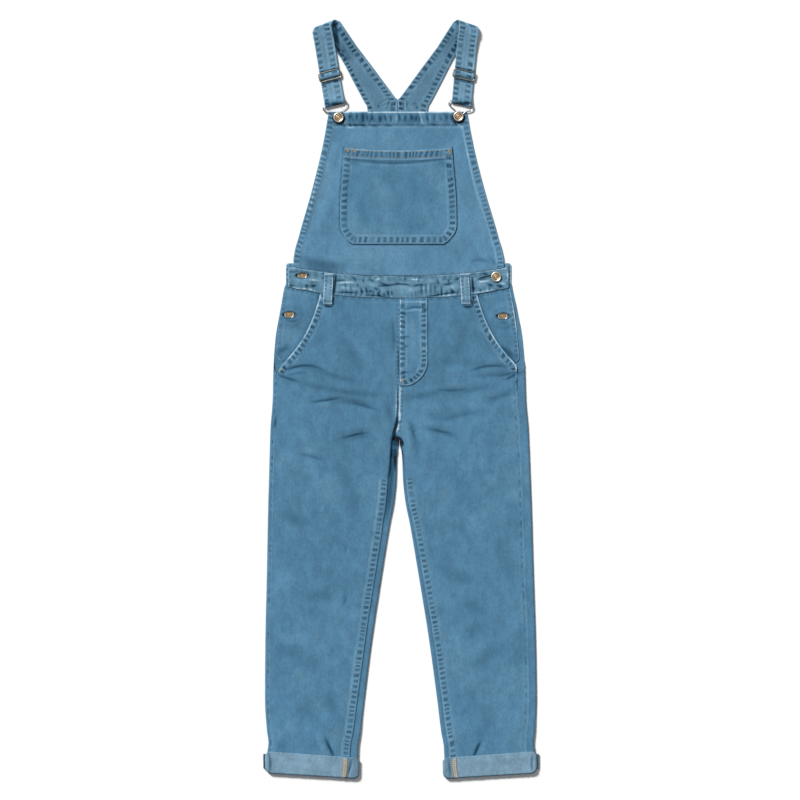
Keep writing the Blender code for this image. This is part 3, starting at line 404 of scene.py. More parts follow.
POCKET_MARKS = (
    Marks(6.0, -0.2, -0.42, ((348.5, 166, 347, 190, 346, 212, 346.5, 228, 354, 238),)),
    Marks(5.0, -0.2, -0.3, ((450.5, 165, 451.5, 190, 451.5, 222),)),
    Marks(2.0, -0.5, -0.95, ((349, 159.6, 366, 161.5, 384, 162.8, 402, 163, 424, 161.5, 450, 158.5),)),
    Marks(2.2, 0.3, 0.1, ((350, 163.5, 372, 165.3, 402, 165.8, 426, 164, 448, 160.6),)),
    Marks(5.0, -0.4, -0.3, ((347, 160, 353, 163, 360, 164), (436, 162, 445, 165, 452, 171))),
    Marks(5.0, 0.35, 0.07, ((404, 165, 422, 161, 444, 160), (427, 166, 432, 176, 430, 190))),
    Marks(10.0, 0.3, 0.03, (
        (366, 172, 384, 190, 408, 212), (440, 180, 446, 200, 440, 226), (372, 210, 380, 226, 392, 234),
    )),
    Marks(14.0, -0.35, -0.17, (
        (375, 168, 392, 180, 408, 196), (408, 170, 416, 190, 422, 208), (360, 190, 366, 214, 384, 224),
        (398, 205, 410, 222, 430, 230),
    )),
)

WAIST_MARKS = (
    # painted shadows of the belt loops on the waistband
    Marks(1.6, -0.4, -2.4, ((336, 274, 335.2, 284, 334, 295), (472.2, 276, 472.8, 286, 473.2, 294))),
    Marks(1.5, -0.5, -1.4, (  # dark lines
        (289.5, 267, 297, 267), (290, 272.5, 302, 271.4, 312, 274), (348, 273.2, 360, 275, 374, 276.4),
        (375, 277.6, 387, 275.4, 410, 275.8), (395, 276, 412, 276.3, 431, 276.7), (336, 280.4, 346, 280.4),
        (336, 292.2, 358, 292.7), (365, 295, 379, 296, 393, 298.8, 410, 298.3),
        (395, 283.6, 408, 285, 412, 286.4), (412, 286.4, 419, 285, 425, 285),
        (378, 281, 387.5, 285.3, 400, 283.6),
        (378, 286, 389, 285.6), (419, 298, 430, 296.6, 443.5, 294, 459, 292.3), (470, 274.6, 476, 273.2),
        (481.6, 273.6, 488.6, 274.5), (494.7, 289.4, 505, 291.2), (299, 282.3, 299.6, 284.4),
        (444, 285, 452, 283.6),
    )),
    Marks(2.0, -0.6, -1.25, (  # dark marks
        (289, 285.7, 294.4, 286), (310, 286.3, 317, 285.6), (361, 288, 362.4, 293.5), (366, 287, 367, 293),
        (369.5, 290, 372, 292.4), (374.5, 288.2, 378, 290), (377, 293, 380.5, 296), (383, 293.6, 385.7, 296),
        (352, 277.5, 355, 279, 356, 282), (370, 278.6, 373.6, 282), (455, 281, 460, 277.3),
        (322, 272.6, 325, 274.5),
        (322.5, 277.5, 325, 279), (450.5, 289.4, 453, 292, 455.7, 291.6), (473, 286.8, 475, 290),
        (487, 284.3, 491, 285, 493, 287.3), (496.4, 285.3, 500, 286.3, 504, 287.2), (421.4, 284, 421.8, 295),
        (437.6, 278.4, 438.4, 284.6), (318, 294.5, 321, 299), (463, 275, 463.5, 281),
    )),
    Marks(1.5, -0.5, -1.25, (
        (425.8, 283, 426.3, 295), (430.6, 283.6, 430.8, 294.6), (435, 285, 435.4, 294),
        (441.6, 287, 441.3, 293.6),
        (379.6, 290, 380.2, 293), (387.8, 290.5, 388.2, 296), (391.6, 290.8, 392, 295.8),
        (345, 284, 346, 288),
        (350.5, 286.5, 351, 290.6), (357, 284, 358.4, 287), (448, 279, 449, 283), (418.4, 278.4, 418.8, 282),
        (405, 277.6, 405.3, 280.6), (363, 279.4, 363.6, 283), (480, 289, 481.4, 292),
        (305.6, 284, 306.4, 287),
    )),
    Marks(1.8, 0.5, 0.95, (  # light lines
        (290, 268.4, 306, 265.8, 324, 268), (336, 271, 352, 272.4), (296, 279, 312, 280, 321, 280.6),
        (287, 288, 308.6, 289, 318, 293), (336, 283.4, 347, 282.4, 356, 283),
        (470.4, 293.6, 482, 292, 494.7, 289.7),
        (506.6, 270.6, 508, 276, 507.4, 281.4), (478, 282, 490, 281), (498, 283, 506, 284.2),
        (409, 279.4, 424, 280), (440, 296.4, 456, 294.6),
    )),
    Marks(3.4, 0.45, 0.4, (
        (339, 287, 350, 288.4, 358, 287.4), (362, 284, 376, 285, 384, 288.6), (416, 289, 432, 288),
        (444, 288, 458, 286), (296, 283.6, 308, 283), (368, 279, 384, 280), (428, 281, 442, 280),
    )),
)

STRAP_MARKS = (
    Marks(5.0, -0.3, -0.3, ((340, 44, 346, 56, 352, 66),)),
    Marks(1.9, -0.4, -0.6, ((341.5, 55, 347, 58.5, 351.5, 58), (340.5, 50, 345, 52))),
    # painted shade on the back layer beside each front layer's inner edge, strongest on the wearer's right
    Marks(3.2, 0.0, -1.8, ((335.0, 22, 336.2, 34, 337.6, 46, 339, 56),)),
    Marks(1.6, 0.0, -0.7, ((457.4, 24, 456, 42, 454.4, 56),)),
    Marks(1.5, -0.4, -0.9, (  # puckers round the point of the V
        (376, 104, 380, 108.5), (380.5, 101.5, 383, 105), (384, 104.5, 387, 109), (388, 101, 389.5, 106),
        (391.5, 104, 392.5, 109), (395, 101.5, 395.5, 106), (400.5, 102, 400.5, 107), (404, 104, 403.6, 109),
        (407.5, 101.5, 406.5, 106), (411, 104.5, 409.5, 109), (415, 102, 413, 106), (419, 105, 416.5, 109),
    )),
    Marks(1.4, 0.3, 0.6, (
        (382, 103, 385, 108), (389.8, 102, 391, 108), (397.8, 101, 397.9, 109), (405.6, 102, 405, 108),
        (413.4, 103, 411.5, 108),
    )),
)

# The hollow at the crotch, darkened with painted shade, and the seams of the turn-ups with the folds beyond
# them.
CROTCH_MARKS = (
    Marks(2.3, -0.2, -3.0, ((397.9, 417, 396.9, 423.5, 394.6, 429.5, 392.3, 436),)),
    Marks(4.0, 0.0, -3.4, ((391.4, 438.4, 395.5, 438.2, 399.5, 439.6, 402.3, 442),)),
    Marks(4.4, 0.0, -3.0, ((399.6, 441, 400.8, 443, 400.4, 446.2),)),
    Marks(6.0, 0.0, -1.3, ((392.4, 442, 395.5, 443.5, 398.5, 444.5),)),
    Marks(1.6, 0.0, -1.7, ((394.9, 442, 394.8, 452, 394.9, 462, 395.2, 470),)),
    Marks(1.6, 0.0, -1.3, ((390.6, 441, 390.7, 455, 390.2, 468, 389, 478),)),
    Marks(1.4, 0.2, 1.5, ((400.2, 411, 400, 416, 399.4, 421), (398.8, 424, 398.2, 428, 396.6, 431.6))),
    Marks(5.5, 0.0, -1.0, ((393.4, 440, 393.2, 456, 391.6, 476, 389, 500, 386, 524),)),
    Marks(1.8, 0.0, -0.6, ((402.6, 447, 403, 458, 402.8, 468),)),
    Marks(3.0, 0.0, -0.9, ((396.2, 447, 396.6, 456, 396.4, 464),)),
    Marks(2.6, 0.2, 0.3, ((397.6, 433.6, 400, 434.8, 402.4, 437.4),)),
)
CUFF_SEAM = {"left": (453.6, 755.2, 454.4, 768, 456.4, 780), "right": (345.6, 756.6, 345.0, 768, 343.4, 781)}
CUFF_MARKS = (
    Marks(2.0, -0.4, -0.7, ((351.5, 760, 349.5, 769, 346, 779), (448.5, 760, 450, 770, 449.5, 777))),
    Marks(2.4, 0.4, 0.4, ((353.5, 761, 351.5, 770, 348.5, 778),)),
    Marks(3.5, -0.2, -0.1,
          ((281, 756, 296, 760, 318, 762), (470, 762, 490, 764, 516, 760), (300, 770, 322, 773, 338, 772))),
    Marks(3.5, 0.2, 0.05, ((276, 763, 296, 766, 322, 768), (462, 769, 486, 770, 520, 767))),
    Marks(2.0, -0.4, -0.9, ((268.5, 752, 270.5, 762, 269.5, 773), (532.8, 753, 531.5, 763, 532.6, 771))),
)


# ---------------------------------------------------------------- arithmetic


def smooth(value, start, end):
    """Eases from 0 at start to 1 at end."""
    part = np.clip((value - start) / (end - start), 0.0, 1.0)
    return part * part * (3.0 - 2.0 * part)


def blend(first, second, part):
    return first + (second - first) * part


def through(rows, place):
    """Reads a smooth curve through rows of (place, value), level beyond its ends."""
    rows = sorted(rows)
    at = np.array([row[0] for row in rows], float)
    value = np.array([row[1] for row in rows], float)
    place = np.clip(np.asarray(place, float), at[0], at[-1])
    step = np.diff(at)
    slope = np.diff(value) / step
    tangent = np.zeros(len(at))
    tangent[0] = slope[0]
    tangent[-1] = slope[-1]
    product = slope[:-1] * slope[1:]
    total = np.where(product > 0, slope[:-1] + slope[1:], 1.0)
    tangent[1:-1] = np.where(product > 0, 2.0 * product / total, 0.0)
    number = np.clip(np.searchsorted(at, place, side="left") - 1, 0, len(step) - 1)
    part = (place - at[number]) / step[number]
    eased = part * part * (3 - 2 * part)
    bend = tangent[number] * (1 - part) - tangent[number + 1] * part
    level = value[number] + (value[number + 1] - value[number]) * eased
    return level + step[number] * part * (1 - part) * bend


def column(table, name):
    return tuple((row.height, getattr(row, name)) for row in table)


def chance(number, seed):
    """A number from 0 to 1 for each whole number, the same in every run."""
    return (np.sin(number * 127.1 + seed * 311.7) * 43758.5453) % 1.0


def wander(place, seed):
    """Smooth noise from -1 to 1 along a line, about one swing for each unit."""
    cell = np.floor(place)
    part = smooth(place - cell, 0.0, 1.0)
    return blend(chance(cell, seed), chance(cell + 1.0, seed), part) * 2.0 - 1.0


def mottle(x, y, size, seed):
    """Smooth noise from -1 to 1 over a plane, in patches of about this size, a little longer than wide."""
    place_x, place_y = x / size, y / (1.3 * size)
    cell_x, cell_y = np.floor(place_x), np.floor(place_y)
    part_x = smooth(place_x - cell_x, 0.0, 1.0)
    part_y = smooth(place_y - cell_y, 0.0, 1.0)

    def at(right, up):
        return chance(cell_x + right + 2.1234 * (cell_y + up), seed)

    low = blend(at(0, 0), at(1, 0), part_x)
    high = blend(at(0, 1), at(1, 1), part_x)
    return blend(low, high, part_y) * 2.0 - 1.0


def steps(start, end, size):
    """Even values from start to end, no further apart than size."""
    return np.linspace(start, end, max(int(math.ceil(abs(end - start) / size)), 1) + 1)


def spread(start, end, count):
    return np.linspace(start, end, count + 1)


def together(*columns):
    """Points from their coordinates."""
    return np.stack(np.broadcast_arrays(*columns), axis=-1).astype(float)


def smooth_path(points, count=5, closed=False):
    """A curve through points, with count steps from each to the next."""
    points = np.asarray(points, float)
    size = len(points)
    made = []
    for number in range(size if closed else size - 1):
        near = [number - 1, number, number + 1, number + 2]
        near = [k % size for k in near] if closed else [min(max(k, 0), size - 1) for k in near]
        p0, p1, p2, p3 = points[near]
        part = (np.arange(count) / count)[:, None]
        made.append(0.5 * (2 * p1 + (p2 - p0) * part + (2 * p0 - 5 * p1 + 4 * p2 - p3) * part**2
                           + (3 * p1 - p0 - 3 * p2 + p3) * part**3))
    if not closed:
        made.append(points[-1:])
    return np.concatenate(made)


def beside(x, y, path):
    """Each point's distance from a line in the plan, and how far along the line that is."""
    path = np.asarray(path, float)
    start = path[:-1]
    along = path[1:] - start
    length = np.maximum(np.hypot(along[:, 0], along[:, 1]), 1e-9)
    before = np.concatenate([[0.0], np.cumsum(length)[:-1]])
    flat_x = x.ravel()[:, None] - start[None, :, 0]
    flat_y = y.ravel()[:, None] - start[None, :, 1]
    part = np.clip((flat_x * along[:, 0] + flat_y * along[:, 1]) / length**2, 0.0, 1.0)
    distance = np.hypot(flat_x - part * along[:, 0], flat_y - part * along[:, 1])
    best = distance.argmin(axis=1)
    rows = np.arange(len(best))
    away = distance[rows, best].reshape(x.shape)
    place = (before[best] + part[rows, best] * length[best]).reshape(x.shape)
    return away, place, before[-1] + length[-1]


def moved_aside(path, distance):
    """A line moved to its left by a distance."""
    path = np.asarray(path, float)
    way = np.gradient(path, axis=0)
    way /= np.maximum(np.hypot(way[:, 0], way[:, 1])[:, None], 1e-9)
    return path + np.stack([-way[:, 1], way[:, 0]], axis=1) * distance


def line_mark(away, width):
    return np.exp(-((away / width) ** 2))


# ---------------------------------------------------------------- the front's shape


def centre(height):
    return -LEAN * (height - CENTRE_AT)


def outer_edge(height):
    return through(column(LEGS, "outer"), height)


def inner_edge(height):
    return through(column(LEGS, "inner"), height)


def strip(side, edge, height):
    return through(column(STRIPS, side + "_" + edge), height)


def fold_shape(fold, x, y):
    """How much of a fold's height there is at each point, from 0 to 1."""
    dx = fold.x1 - fold.x0
    dy = fold.y1 - fold.y0
    length = math.hypot(dx, dy)
    part = ((x - fold.x0) * dx + (y - fold.y0) * dy) / length**2
    inside = (part > 0) & (part < 1)
    part = np.clip(part, 0.0, 1.0)
    away = (dx * (y - fold.y0) - dy * (x - fold.x0)) / length - fold.bow * 4.0 * part * (1.0 - part)
    return np.where(inside, np.exp(-((away / fold.width) ** 2)) * np.sin(math.pi * part) ** 0.6, 0.0)


def relief(x, y):
    """The height that the folds add at each point."""
    total = np.zeros(np.broadcast(x, y).shape)
    for fold in FOLDS:
        total = total + fold.height * fold_shape(fold, x, y)
    return total


def puff(x, y):
    offset = np.abs(x - centre(y))
    across_hips = 1.0 - (offset / outer_edge(y)) ** 4
    middle = (outer_edge(y) + inner_edge(y)) / 2
    half = (outer_edge(y) - inner_edge(y)) / 2
    across_leg = np.maximum(1.0 - ((offset - middle) / half) ** 4, 0.0)
    height = blend(0.9, 1.1, smooth(y, 150, -20)) * smooth(y, 190, 150)
    return height * blend(across_hips, across_leg, smooth(y, -50, -130)) * smooth(y, -650, -600)


def lift(y):
    return LIFT * smooth(y, -570, -645)


def mouth(side, height):
    seam = outer_edge(height) - strip(side, "outer", height) - GAP / 2
    return np.where(height <= POCKET_END, seam, np.minimum(through(POCKET_MOUTH, height), seam))


def front_inner(side, height):
    sign = SIDES[side]
    seam = through(CENTRE_SEAM, height) + sign * GAP / 2
    leg = sign * (inner_edge(height) + strip(side, "inner", height) + GAP / 2)
    return blend(seam, leg, smooth(height, CROTCH_FRONT, CROTCH_BACK))


def front_underside(side, x, y):
    sign = SIDES[side]
    offset = (x - centre(y)) * sign
    to_edge = mouth(side, y) - offset
    to_inner = offset - front_inner(side, y) * sign
    to_edge = np.where(y < CROTCH_FRONT, np.minimum(to_edge, to_inner), to_edge)
    free = smooth(to_edge, 2, 22)
    floor = blend(SPACE, CLOTH + GAP, smooth(to_edge, 16, 30))
    height = SPACE + puff(x, y) * smooth(to_edge, 0, 20)
    height = height + relief(x, y) * free * smooth(y, -650, -610)
    return np.maximum(height, floor) + lift(y)


def waist_rise(x, rise):
    return rise * (np.abs(x) / BAND_HALF) ** BAND_RISE_POWER


def under_band(height, x):
    """A height on the panels below the waistband, bent up with the band's lower edge."""
    return height + waist_rise(x, BAND_BOTTOM_RISE) * smooth(height, 80, BAND_BOTTOM)


def over_band(height, x):
    """A height on the bib, bent up with the band's upper edge."""
    return height + waist_rise(x, BAND_TOP_RISE) * smooth(height, 300, BAND_TOP)


def band_height(x, part):
    """A height on the front waistband, part of the way from its lower to its upper edge."""
    return blend(BAND_BOTTOM + waist_rise(x, BAND_BOTTOM_RISE), BAND_TOP + waist_rise(x, BAND_TOP_RISE), part)


def hem_tilt(y, offset):
    part = np.clip((offset - CUFF_INNER) / (CUFF_OUTER - CUFF_INNER), 0.0, 1.0)
    return (CUFF_END_OUTER - CUFF_END_INNER) * (part - 0.5) * smooth(y, -560, -660)


def on_leg(height, offset):
    """Where a point of a leg lies in the plan, from its height and its place beside the centre line."""
    x = centre(height) + offset
    return x, under_band(height, x) + hem_tilt(height, np.abs(offset))


def bump(x, y, button, height):
    away = np.hypot(x - button[0], y - button[1])
    return height * smooth(away, BUTTON_RADIUS + BUTTON_SWELL[0], BUTTON_RADIUS + BUTTON_SWELL[1])


def place_of(places, side):
    """The (x, y) of a side's fitting, from a table of places beside the centre line."""
    x, y = places[side]
    return (SIDES[side] * x + centre(y), y)


# ---------------------------------------------------------------- materials


def linear(*screen):
    """The shader's colour for a colour of the screen, 0 to 255."""
    parts = [part / 255 for part in screen]
    return tuple(part / 12.92 if part < 0.0404 else ((part + 0.055) / 1.055) ** 2.4 for part in parts)


def add_node(tree, kind, sockets=None, **settings):
    """A shader node whose sockets take values or other nodes' outputs."""
    made = tree.nodes.new("ShaderNode" + kind)
    for name, value in settings.items():
        setattr(made, name, value)
    for name, value in (sockets or {}).items():
        if isinstance(value, bpy.types.NodeSocket):
            tree.links.new(value, made.inputs[name])
        else:
            made.inputs[name].default_value = value
    return made


def maths(tree, operation, *values, clamp=False):
    made = add_node(tree, "Math", dict(enumerate(values)), operation=operation, use_clamp=clamp)
    return made.outputs[0]


def ranged(tree, value, low, high, low_result=0.0, high_result=1.0):
    """Value carried from one range to another, and kept within it."""
    values = {"Value": value, 1: low, 2: high, 3: low_result, 4: high_result}
    return add_node(tree, "MapRange", values).outputs[0]


def new_look(name, roughness, metallic=0.0):
    """A material, its tree, its shader, and the place on the piece that its patterns follow."""
    look = bpy.data.materials.new(name)
    look.use_nodes = True
    tree = look.node_tree
    shader = tree.nodes["Principled BSDF"]
    shader.inputs["Roughness"].default_value = roughness
    shader.inputs["Metallic"].default_value = metallic
    return look, tree, shader, add_node(tree, "TexCoord").outputs["Object"]


def attribute(tree, name):
    """What a piece's points carry under this name."""
    return add_node(tree, "Attribute", attribute_name=name).outputs["Fac"]


def paint(tree, shader, colour):
    tree.links.new(colour, shader.inputs["Base Color"])


def roughen(tree, shader, height, strength, distance):
    """Lights a surface as if it had this height."""
    bumped = add_node(tree, "Bump", {"Height": height, "Strength": strength, "Distance": distance})
    tree.links.new(bumped.outputs[0], shader.inputs["Normal"])


def grain(tree, place, scale, detail, rough=0.5):
    """Noise from 0 to 1 whose size is set apart for X, Y and Z, in swings for each metre."""
    stretched = add_node(tree, "Mapping", {"Vector": place, "Scale": scale}).outputs[0]
    sockets = {"Vector": stretched, "Scale": 1.0, "Detail": detail, "Roughness": rough}
    return add_node(tree, "TexNoise", sockets).outputs[0]


def mix(tree, part, first, second):
    made = tree.nodes.new("ShaderNodeMix")
    made.data_type = "RGBA"
    for name, value in (("Factor", part), ("A", first), ("B", second)):
        slot = [slot for slot in made.inputs if slot.name == name and slot.enabled][0]
        if isinstance(value, bpy.types.NodeSocket):
            tree.links.new(value, slot)
        else:
            slot.default_value = value if name == "Factor" else (*value, 1.0)
    return [slot for slot in made.outputs if slot.enabled][0]


def scaled(colour, times, added=0.0):
    return tuple(min(part * times + added, 1.0) for part in colour)


# The noise in denim, as size, detail and roughness: slubs in its threads, specks, clouds and the wash.
DENIM_GRAINS = (
    ((640, 70, 640), 3.0, 0.6),
    ((260, 200, 260), 3.0, 0.6),
    ((64, 40, 64), 3.0, 0.55),
    ((12, 7, 12), 2.0, 0.5),
)
DENIM_SHARES = (0.34, 0.52, 0.6, 0.28, 0.12)  # how much of each shows, and of the twill
TWILL_TURN = math.radians(-62)
TWILL_SCALE = 330.0
CREST = 0.3  # how light the ridges between a seam's puckers are
# The colours that the tone mixes in: the first two lighten it for wear and for painted highlight on ridges;
# DEEP darkens it for dye and for painted shade; BLACK is painted shade almost everywhere it shows, in the
# crotch's hollow, deep folds and beside loops, straps, buttons and the slider.
FADE_AND_HIGHLIGHT = linear(140, 180, 204)
WORN_AND_HIGHLIGHT = linear(226, 236, 238)
DEEP = linear(20, 66, 92)
BLACK = linear(0, 22, 40)


def denim(name, body, contrast):
    """Washed denim. Its tone attribute lightens or darkens it, for wear and dye and also for painted shade
    and painted highlight, and its phase and pinch draw the puckers.
    """
    look, tree, shader, place = new_look(name, 0.92)
    slub, speck, cloud, wash = (grain(tree, place, *row) for row in DENIM_GRAINS)
    turned = add_node(tree, "Mapping", {"Vector": place, "Rotation": (0.0, 0.0, TWILL_TURN)}).outputs[0]
    twill = {"Vector": turned, "Scale": TWILL_SCALE, "Distortion": 0.6, "Detail": 1.0}
    twill = add_node(tree, "TexWave", twill).outputs["Fac"]
    shade = 0.5
    for part, share in zip((slub, speck, cloud, wash, twill), DENIM_SHARES):
        offset = maths(tree, "MULTIPLY_ADD", part, share * contrast, -share * contrast / 2)
        shade = maths(tree, "ADD", offset, shade)
    shade = maths(tree, "MULTIPLY", shade, 1.0, clamp=True)
    colour = mix(tree, shade, scaled(body, 0.54), scaled(body, 1.5, 0.02))

    tone, phase, pinch = (attribute(tree, mark) for mark in ("tone", "phase", "pinch"))
    wave = maths(tree, "SINE", maths(tree, "MULTIPLY", phase, 2 * math.pi))
    uneven = ranged(tree, speck, 0.3, 0.62, 0.6, 1.1)
    sunk = maths(tree, "MULTIPLY", maths(tree, "MULTIPLY", ranged(tree, wave, -0.45, 0.5), pinch), uneven)
    raised = maths(tree, "MULTIPLY", ranged(tree, wave, 0.0, -1.0), maths(tree, "MULTIPLY", pinch, CREST))
    darker = maths(tree, "SUBTRACT", sunk, maths(tree, "MINIMUM", tone, 0.0))
    lighter = maths(tree, "ADD", raised, maths(tree, "MAXIMUM", tone, 0.0))
    lighter = maths(tree, "MULTIPLY", lighter, uneven, clamp=True)
    for amount, operation, by, stain in (
        (lighter, "MULTIPLY", 1.2, FADE_AND_HIGHLIGHT), (lighter, "SUBTRACT", 0.4, WORN_AND_HIGHLIGHT),
        (darker, "MULTIPLY", 0.9, DEEP), (darker, "SUBTRACT", 1.0, BLACK),
    ):
        colour = mix(tree, maths(tree, operation, amount, by, clamp=True), colour, stain)
    paint(tree, shader, colour)

    rise = maths(tree, "MULTIPLY_ADD", twill, 0.5, maths(tree, "MULTIPLY", slub, 0.8))
    rise = maths(tree, "MULTIPLY_ADD", speck, 1.6, rise)
    roughen(tree, shader, rise, 0.5, 0.0004)
    for gloss, value in (("Sheen Weight", 0.1), ("Sheen Roughness", 0.6), ("Specular IOR Level", 0.2)):
        shader.inputs[gloss].default_value = value
    return look


def thread_look(name, colour):
    look, tree, shader, place = new_look(name, 0.75)
    fleck = grain(tree, place, (900, 900, 900), 1.0)
    paint(tree, shader, mix(tree, fleck, scaled(colour, 0.6), scaled(colour, 1.5)))
    return look


def metal_look(name, colour, tarnish_and_shade, roughness, scale):
    """Plated metal, tarnished in patches and where its attribute of rub and sheen is low: in the hollows of
    the buttons, and on the sides of the wires as painted shade below a painted highlight on top.
    """
    look, tree, shader, place = new_look(name, roughness, 1.0)
    patch = ranged(tree, grain(tree, place, (scale, scale, scale), 3.0, 0.6), 0.3, 0.7, 0.65, 1.15)
    bright = maths(tree, "MULTIPLY", attribute(tree, "rub_and_sheen"), patch, clamp=True)
    paint(tree, shader, mix(tree, bright, linear(*tarnish_and_shade), linear(*colour)))
    fine = grain(tree, place, (3000, 3000, 3000), 2.0)
    tree.links.new(maths(tree, "MULTIPLY_ADD", fine, 0.25, roughness - 0.1), shader.inputs["Roughness"])
    roughen(tree, shader, fine, 0.15, 0.0002)
    return look


# Each denim's look, its colour on the screen and its contrast.
DENIMS = {
    "denim": ("denim_right_side", (70, 119, 150), 1.0),
    "bib": ("denim_bib", (79, 127, 158), 1.0),
    "hem": ("denim_hem", (82, 126, 151), 1.2),
    "strap": ("denim_strap", (92, 134, 160), 1.1),
    "cuff": ("denim_wrong_side", (116, 149, 171), 1.1),
}
THREAD_COLOURS = {
    "blue": (128, 162, 180), "dark": (66, 100, 120), "tan": (172, 150, 108), "gold": (204, 172, 104),
    "cream": (196, 198, 190), "brown": (150, 126, 92),
}
# Each metal's look, its colour, its tarnish, which on the wires is painted shade for their sides, its
# roughness and the size of its patches.
METALS = {
    "copper": ("copper_rim", (250, 238, 220), (156, 136, 114), 0.36, 500),
    "copper centre": ("copper_centre", (228, 200, 160), (160, 130, 98), 0.4, 700),
    "nickel": ("nickel_wire", (226, 230, 240), (30, 36, 52), 0.26, 300),
    "bronze": ("antique_bronze", (172, 172, 158), (22, 26, 28), 0.36, 260),
}
LOOKS = {key: denim(name, linear(*colour), contrast) for key, (name, colour, contrast) in DENIMS.items()}
for key, colour in THREAD_COLOURS.items():
    LOOKS[key + " thread"] = thread_look("thread_" + key, linear(*colour))
for key, metal_row in METALS.items():
    LOOKS[key] = metal_look(*metal_row)


# ---------------------------------------------------------------- cloth

# A seam: its line, how far from it the first and second rows of stitches run, how light its edge is, below 0
# for a painted shadow beside an edge that laps over it, how strong the puckers between the rows are, how far
# apart, how much they lean, and what share is missing.
Seam = namedtuple("Seam", "path first second edge pucker pitch seed lean sparse", defaults=(2.5, 0.05))
THREADS = []  # (line, thread's look, share of the line that shows thread)
SHELLS = []
DASH_BEYOND = 1.8  # how far the longest puckers reach beyond the second row
PUCKER_DEPTH = 0.36
SEAM_SWELL = 0.3  # how far the cloth swells between its edge and the second row
ROW_DEPTH = 0.28  # how far a row of stitches sinks
EDGE_FROM_ROW = 1.9  # from the first row to the light edge
RIDGE_FROM_ROW = 2.9  # from the second row to the light ridge beyond it


def on_plan(line):
    """Points in millimetres from a line of the plan."""
    points = np.asarray(line, float).reshape(-1, 2)
    return (points - PLAN_CENTRE) * (PLAN, -PLAN)


class Grid:
    """A piece of cloth as rows of points on its solid's hollow face, and what its finish adds to them."""

    def __init__(self, x, y, z):
        self.points = together(x, y, z)
        self.x = self.points[..., 0]
        self.y = self.points[..., 1]
        self.height = np.zeros(self.x.shape)
        self.tone = np.zeros(self.x.shape)
        self.phase = np.zeros(self.x.shape)
        self.pinch = np.zeros(self.x.shape)

    def sew(self, seam, keep=1.0, measured=None):
        """Adds a seam's light edge, a painted shadow instead where the seam's edge is below 0, its sunk rows
        of stitches and the puckers between them.
        """
        away, along, length = measured or beside(self.x, self.y, seam.path)
        cycles = along / seam.pitch + 0.55 * wander(along / (2.3 * seam.pitch), seam.seed)
        cycles = cycles + seam.lean / seam.pitch * wander(along / 37.0, seam.seed + 2) * away / seam.second
        dash = np.floor(cycles + 0.25)
        strength = seam.pucker * (0.6 + 0.52 * chance(dash, seam.seed))
        strength = strength * smooth(chance(dash, seam.seed + 7), seam.sparse - 0.15, seam.sparse + 0.1)
        reach = seam.second + DASH_BEYOND * chance(dash, seam.seed + 1) ** 2 - 0.5
        band = smooth(away, seam.first - 1.6, seam.first + 0.2) * smooth(away, reach + 1.1, reach - 0.9)
        rows = np.maximum(line_mark(away - seam.first - 1.0, 1.6), line_mark(away - reach + 1.0, 1.6))
        band = band * (0.72 + 0.4 * rows)
        ends = smooth(along, 0.0, 3.0) * smooth(along, length, length - 3.0)
        amount = strength * band * ends * keep
        self.height -= PUCKER_DEPTH * amount * np.sin(2 * np.pi * cycles)
        self.height += keep * SEAM_SWELL * seam.pucker * smooth(away, seam.second + 1.5, seam.second - 0.5)
        for row in (seam.first, seam.second):
            self.height -= keep * ROW_DEPTH * line_mark(away - row, 0.8) * min(seam.pucker * 2, 1.0)
        thin = ends * (0.8 + 0.3 * wander(along / 13.0, seam.seed + 5))
        edge_at = max(seam.first - EDGE_FROM_ROW, 0.4)
        self.tone += keep * seam.edge * line_mark(away - edge_at, 1.0 + 0.8 * abs(seam.edge)) * thin
        ridge = line_mark(away - seam.second - RIDGE_FROM_ROW, 1.5)
        self.tone += keep * 0.34 * seam.pucker * ridge * thin
        self.phase = np.where(amount > self.pinch, cycles, self.phase)
        self.pinch = np.maximum(amount, self.pinch)

    def crease(self, groups, keep=1.0):
        """Adds the listed creases and stains."""
        # The tones paint shade in troughs and hollows and highlight on ridges.
        keep = np.broadcast_to(keep, self.x.shape)
        for group in groups:
            for line in group.lines:
                path = smooth_path(on_plan(line))
                reach = 2.5 * group.width
                near = (self.x > path[:, 0].min() - reach) & (self.x < path[:, 0].max() + reach)
                near &= (self.y > path[:, 1].min() - reach) & (self.y < path[:, 1].max() + reach)
                if not near.any():
                    continue
                away, along, length = beside(self.x[near], self.y[near], path)
                fading = np.sin(np.pi * np.clip(along / length, 0.02, 0.98)) ** 0.5
                shape = line_mark(away, group.width) * fading
                self.height[near] += group.depth * shape * keep[near]
                self.tone[near] += group.tone * shape * keep[near]

    def ruffle(self, size, height, tone, seed, keep=1.0):
        """Adds soft unevenness in patches of a size."""
        swing = mottle(self.x, self.y, size, seed) * keep
        self.height += height * swing
        self.tone += tone * swing


def grid_normals(points):
    normal = np.cross(np.gradient(points, axis=1), np.gradient(points, axis=0))
    return normal / np.maximum(np.linalg.norm(normal, axis=2, keepdims=True), 1e-9)


def add_object(name, data):
    made = bpy.data.objects.new(name, data)
    bpy.context.scene.collection.objects.link(made)
    return made


def part_of_garment(made, node=None):
    """Hides the solid of the node that a piece stands for, if any, and hangs the piece on the root body."""
    if node:
        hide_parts(node)
    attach(made, "root")


def mesh_of(name, points, faces, looks, marks=None, face_looks=None):
    """An object from points in millimetres, with its attributes, shaded smooth."""
    mesh = bpy.data.meshes.new(name)
    mesh.from_pydata((points * MM).tolist(), [], faces.tolist() if hasattr(faces, "tolist") else faces)
    for look in looks:
        mesh.materials.append(look)
    if face_looks is not None:
        mesh.polygons.foreach_set("material_index", np.asarray(face_looks, dtype=np.int32))
    for mark, values in (marks or {}).items():
        made = mesh.attributes.new(mark, "FLOAT", "POINT")
        made.data.foreach_set("value", np.asarray(values, dtype=np.float32))
    mesh.polygons.foreach_set("use_smooth", np.ones(len(mesh.polygons), dtype=bool))
    mesh.update()
    return add_object(name, mesh)


